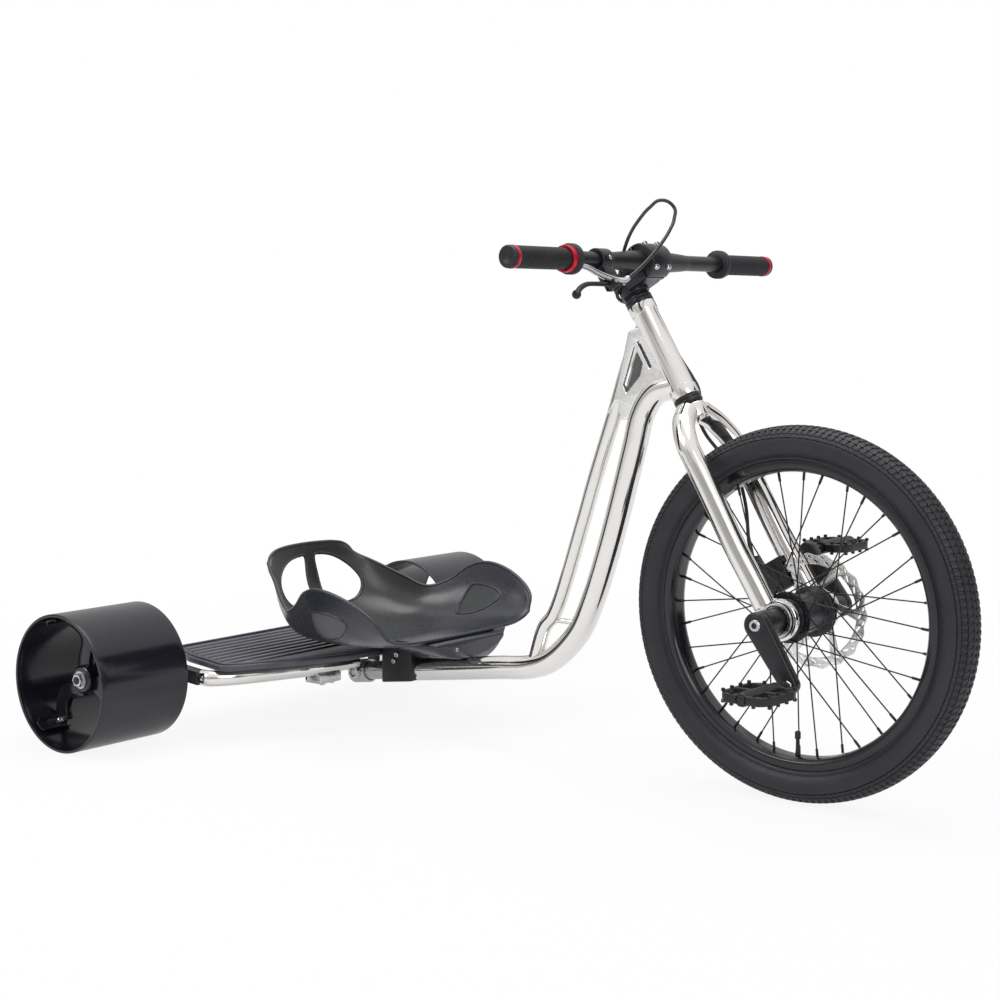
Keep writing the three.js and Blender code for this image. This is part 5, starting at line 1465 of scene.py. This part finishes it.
def add_world():
    """White to the camera, a paling grey in reflections, and a dim cool light otherwise."""
    world = bpy.data.worlds.new("world")
    scene.world = world
    world.use_nodes = True
    tree = world.node_tree
    base = tree.nodes["Background"]
    feed(tree, base, {"Color": (0.9, 0.93, 1, 1), "Strength": 0.5})
    place = add_node(tree, "TexCoord").outputs["Generated"]
    height = add_node(tree, "SeparateXYZ", {"Vector": place}).outputs["Z"]
    sky = ramp(tree, height, (0, 0.75), ((0.5, 0.49, 0.48), (0.97, 0.97, 0.98)))
    mirrored = add_node(tree, "Background", {"Color": sky})
    white = add_node(tree, "Background", {"Color": (1, 1, 1, 1)})
    path = add_node(tree, "LightPath").outputs
    seen = add_node(tree, "Math", {0: path["Is Camera Ray"], 1: path["Is Transmission Ray"]},
                    operation="MAXIMUM")
    unseen = add_node(tree, "MixShader", {
        "Fac": path["Is Glossy Ray"], 1: base.outputs[0], 2: mirrored.outputs[0],
    })
    mix = add_node(tree, "MixShader", {
        "Fac": seen.outputs[0], 1: unseen.outputs[0], 2: white.outputs[0],
    })
    feed(tree, tree.nodes["World Output"], {"Surface": mix.outputs[0]})


def add_light(name, place, size, power):
    data = bpy.data.lights.new(name, "AREA")
    data.shape = "RECTANGLE"
    data.size, data.size_y = size
    data.energy = power
    obj = bpy.data.objects.new(name, data)
    obj.location = place
    direction = LIT_PLACE - Vector(place)
    obj.rotation_euler = direction.to_track_quat("-Z", "Y").to_euler()
    scene.collection.objects.link(obj)


LIT_PLACE, CARD_CENTRE = Vector((0, 0, 0.25)), Vector((0, 0, 0.5))
DARK, SHADE, GREY = 0.015, 0.17, 0.42
# Cards seen only in reflections: the angle from the camera's side, in degrees, then the distance,
# width, height and lift, in metres, and the brightness.
CARDS = {
    "card_front": (0, 4.2, 4.6, 3.4, 0.3, GREY),
    "card_front_left": (-36, 4.4, 0.35, 3.4, 0.3, SHADE),
    "card_front_right": (38, 4.4, 0.9, 3.4, 0.3, SHADE),
    "card_left": (-104, 3.4, 1.1, 3.2, 0.6, DARK),
    "card_right": (96, 3.4, 1.3, 3.2, 0.6, DARK),
    "card_back_left": (-150, 4.0, 0.6, 3.0, 0.6, GREY),
    "card_back_right": (150, 4.0, 0.6, 3.0, 0.6, GREY),
}


def add_stage():
    stage_plane("floor", (0, 0, -0.0005), (60, 60), (0, 0, 1), floor_material())
    back = Vector((math.sin(CAMERA_AZIMUTH), -math.cos(CAMERA_AZIMUTH), 0))
    materials = {shade: card_material(shade) for shade in (DARK, SHADE, GREY)}
    for name, (turn, distance, width, height, lift, shade) in CARDS.items():
        way = Matrix.Rotation(math.radians(turn), 4, "Z") @ back
        place = CARD_CENTRE + way * distance + Vector((0, 0, lift))
        stage_plane(name, place, (width, height), CARD_CENTRE - place, materials[shade],
                    camera=False)
    add_light("key", (-1.6, -2.6, 3.2), (2.4, 1.6), 60)
    add_light("fill", (3.2, -1.6, 2.0), (1.6, 2.2), 30)
    add_light("top", (0, 0.4, 3.4), (3.0, 2.0), 55)
    scene.view_settings.view_transform = "Standard"


make_frame()
make_fork()
make_stem()
make_bar()
make_lever()
make_rotor()
make_caliper()
make_tyre()
make_rim()
make_hub()
make_spokes()
make_valve()
make_cranks()
make_pedals()
make_rear_frame()
make_board()
make_rear_wheels()
make_seat()
make_pedestal()
make_bracket()
add_stage()
add_world()
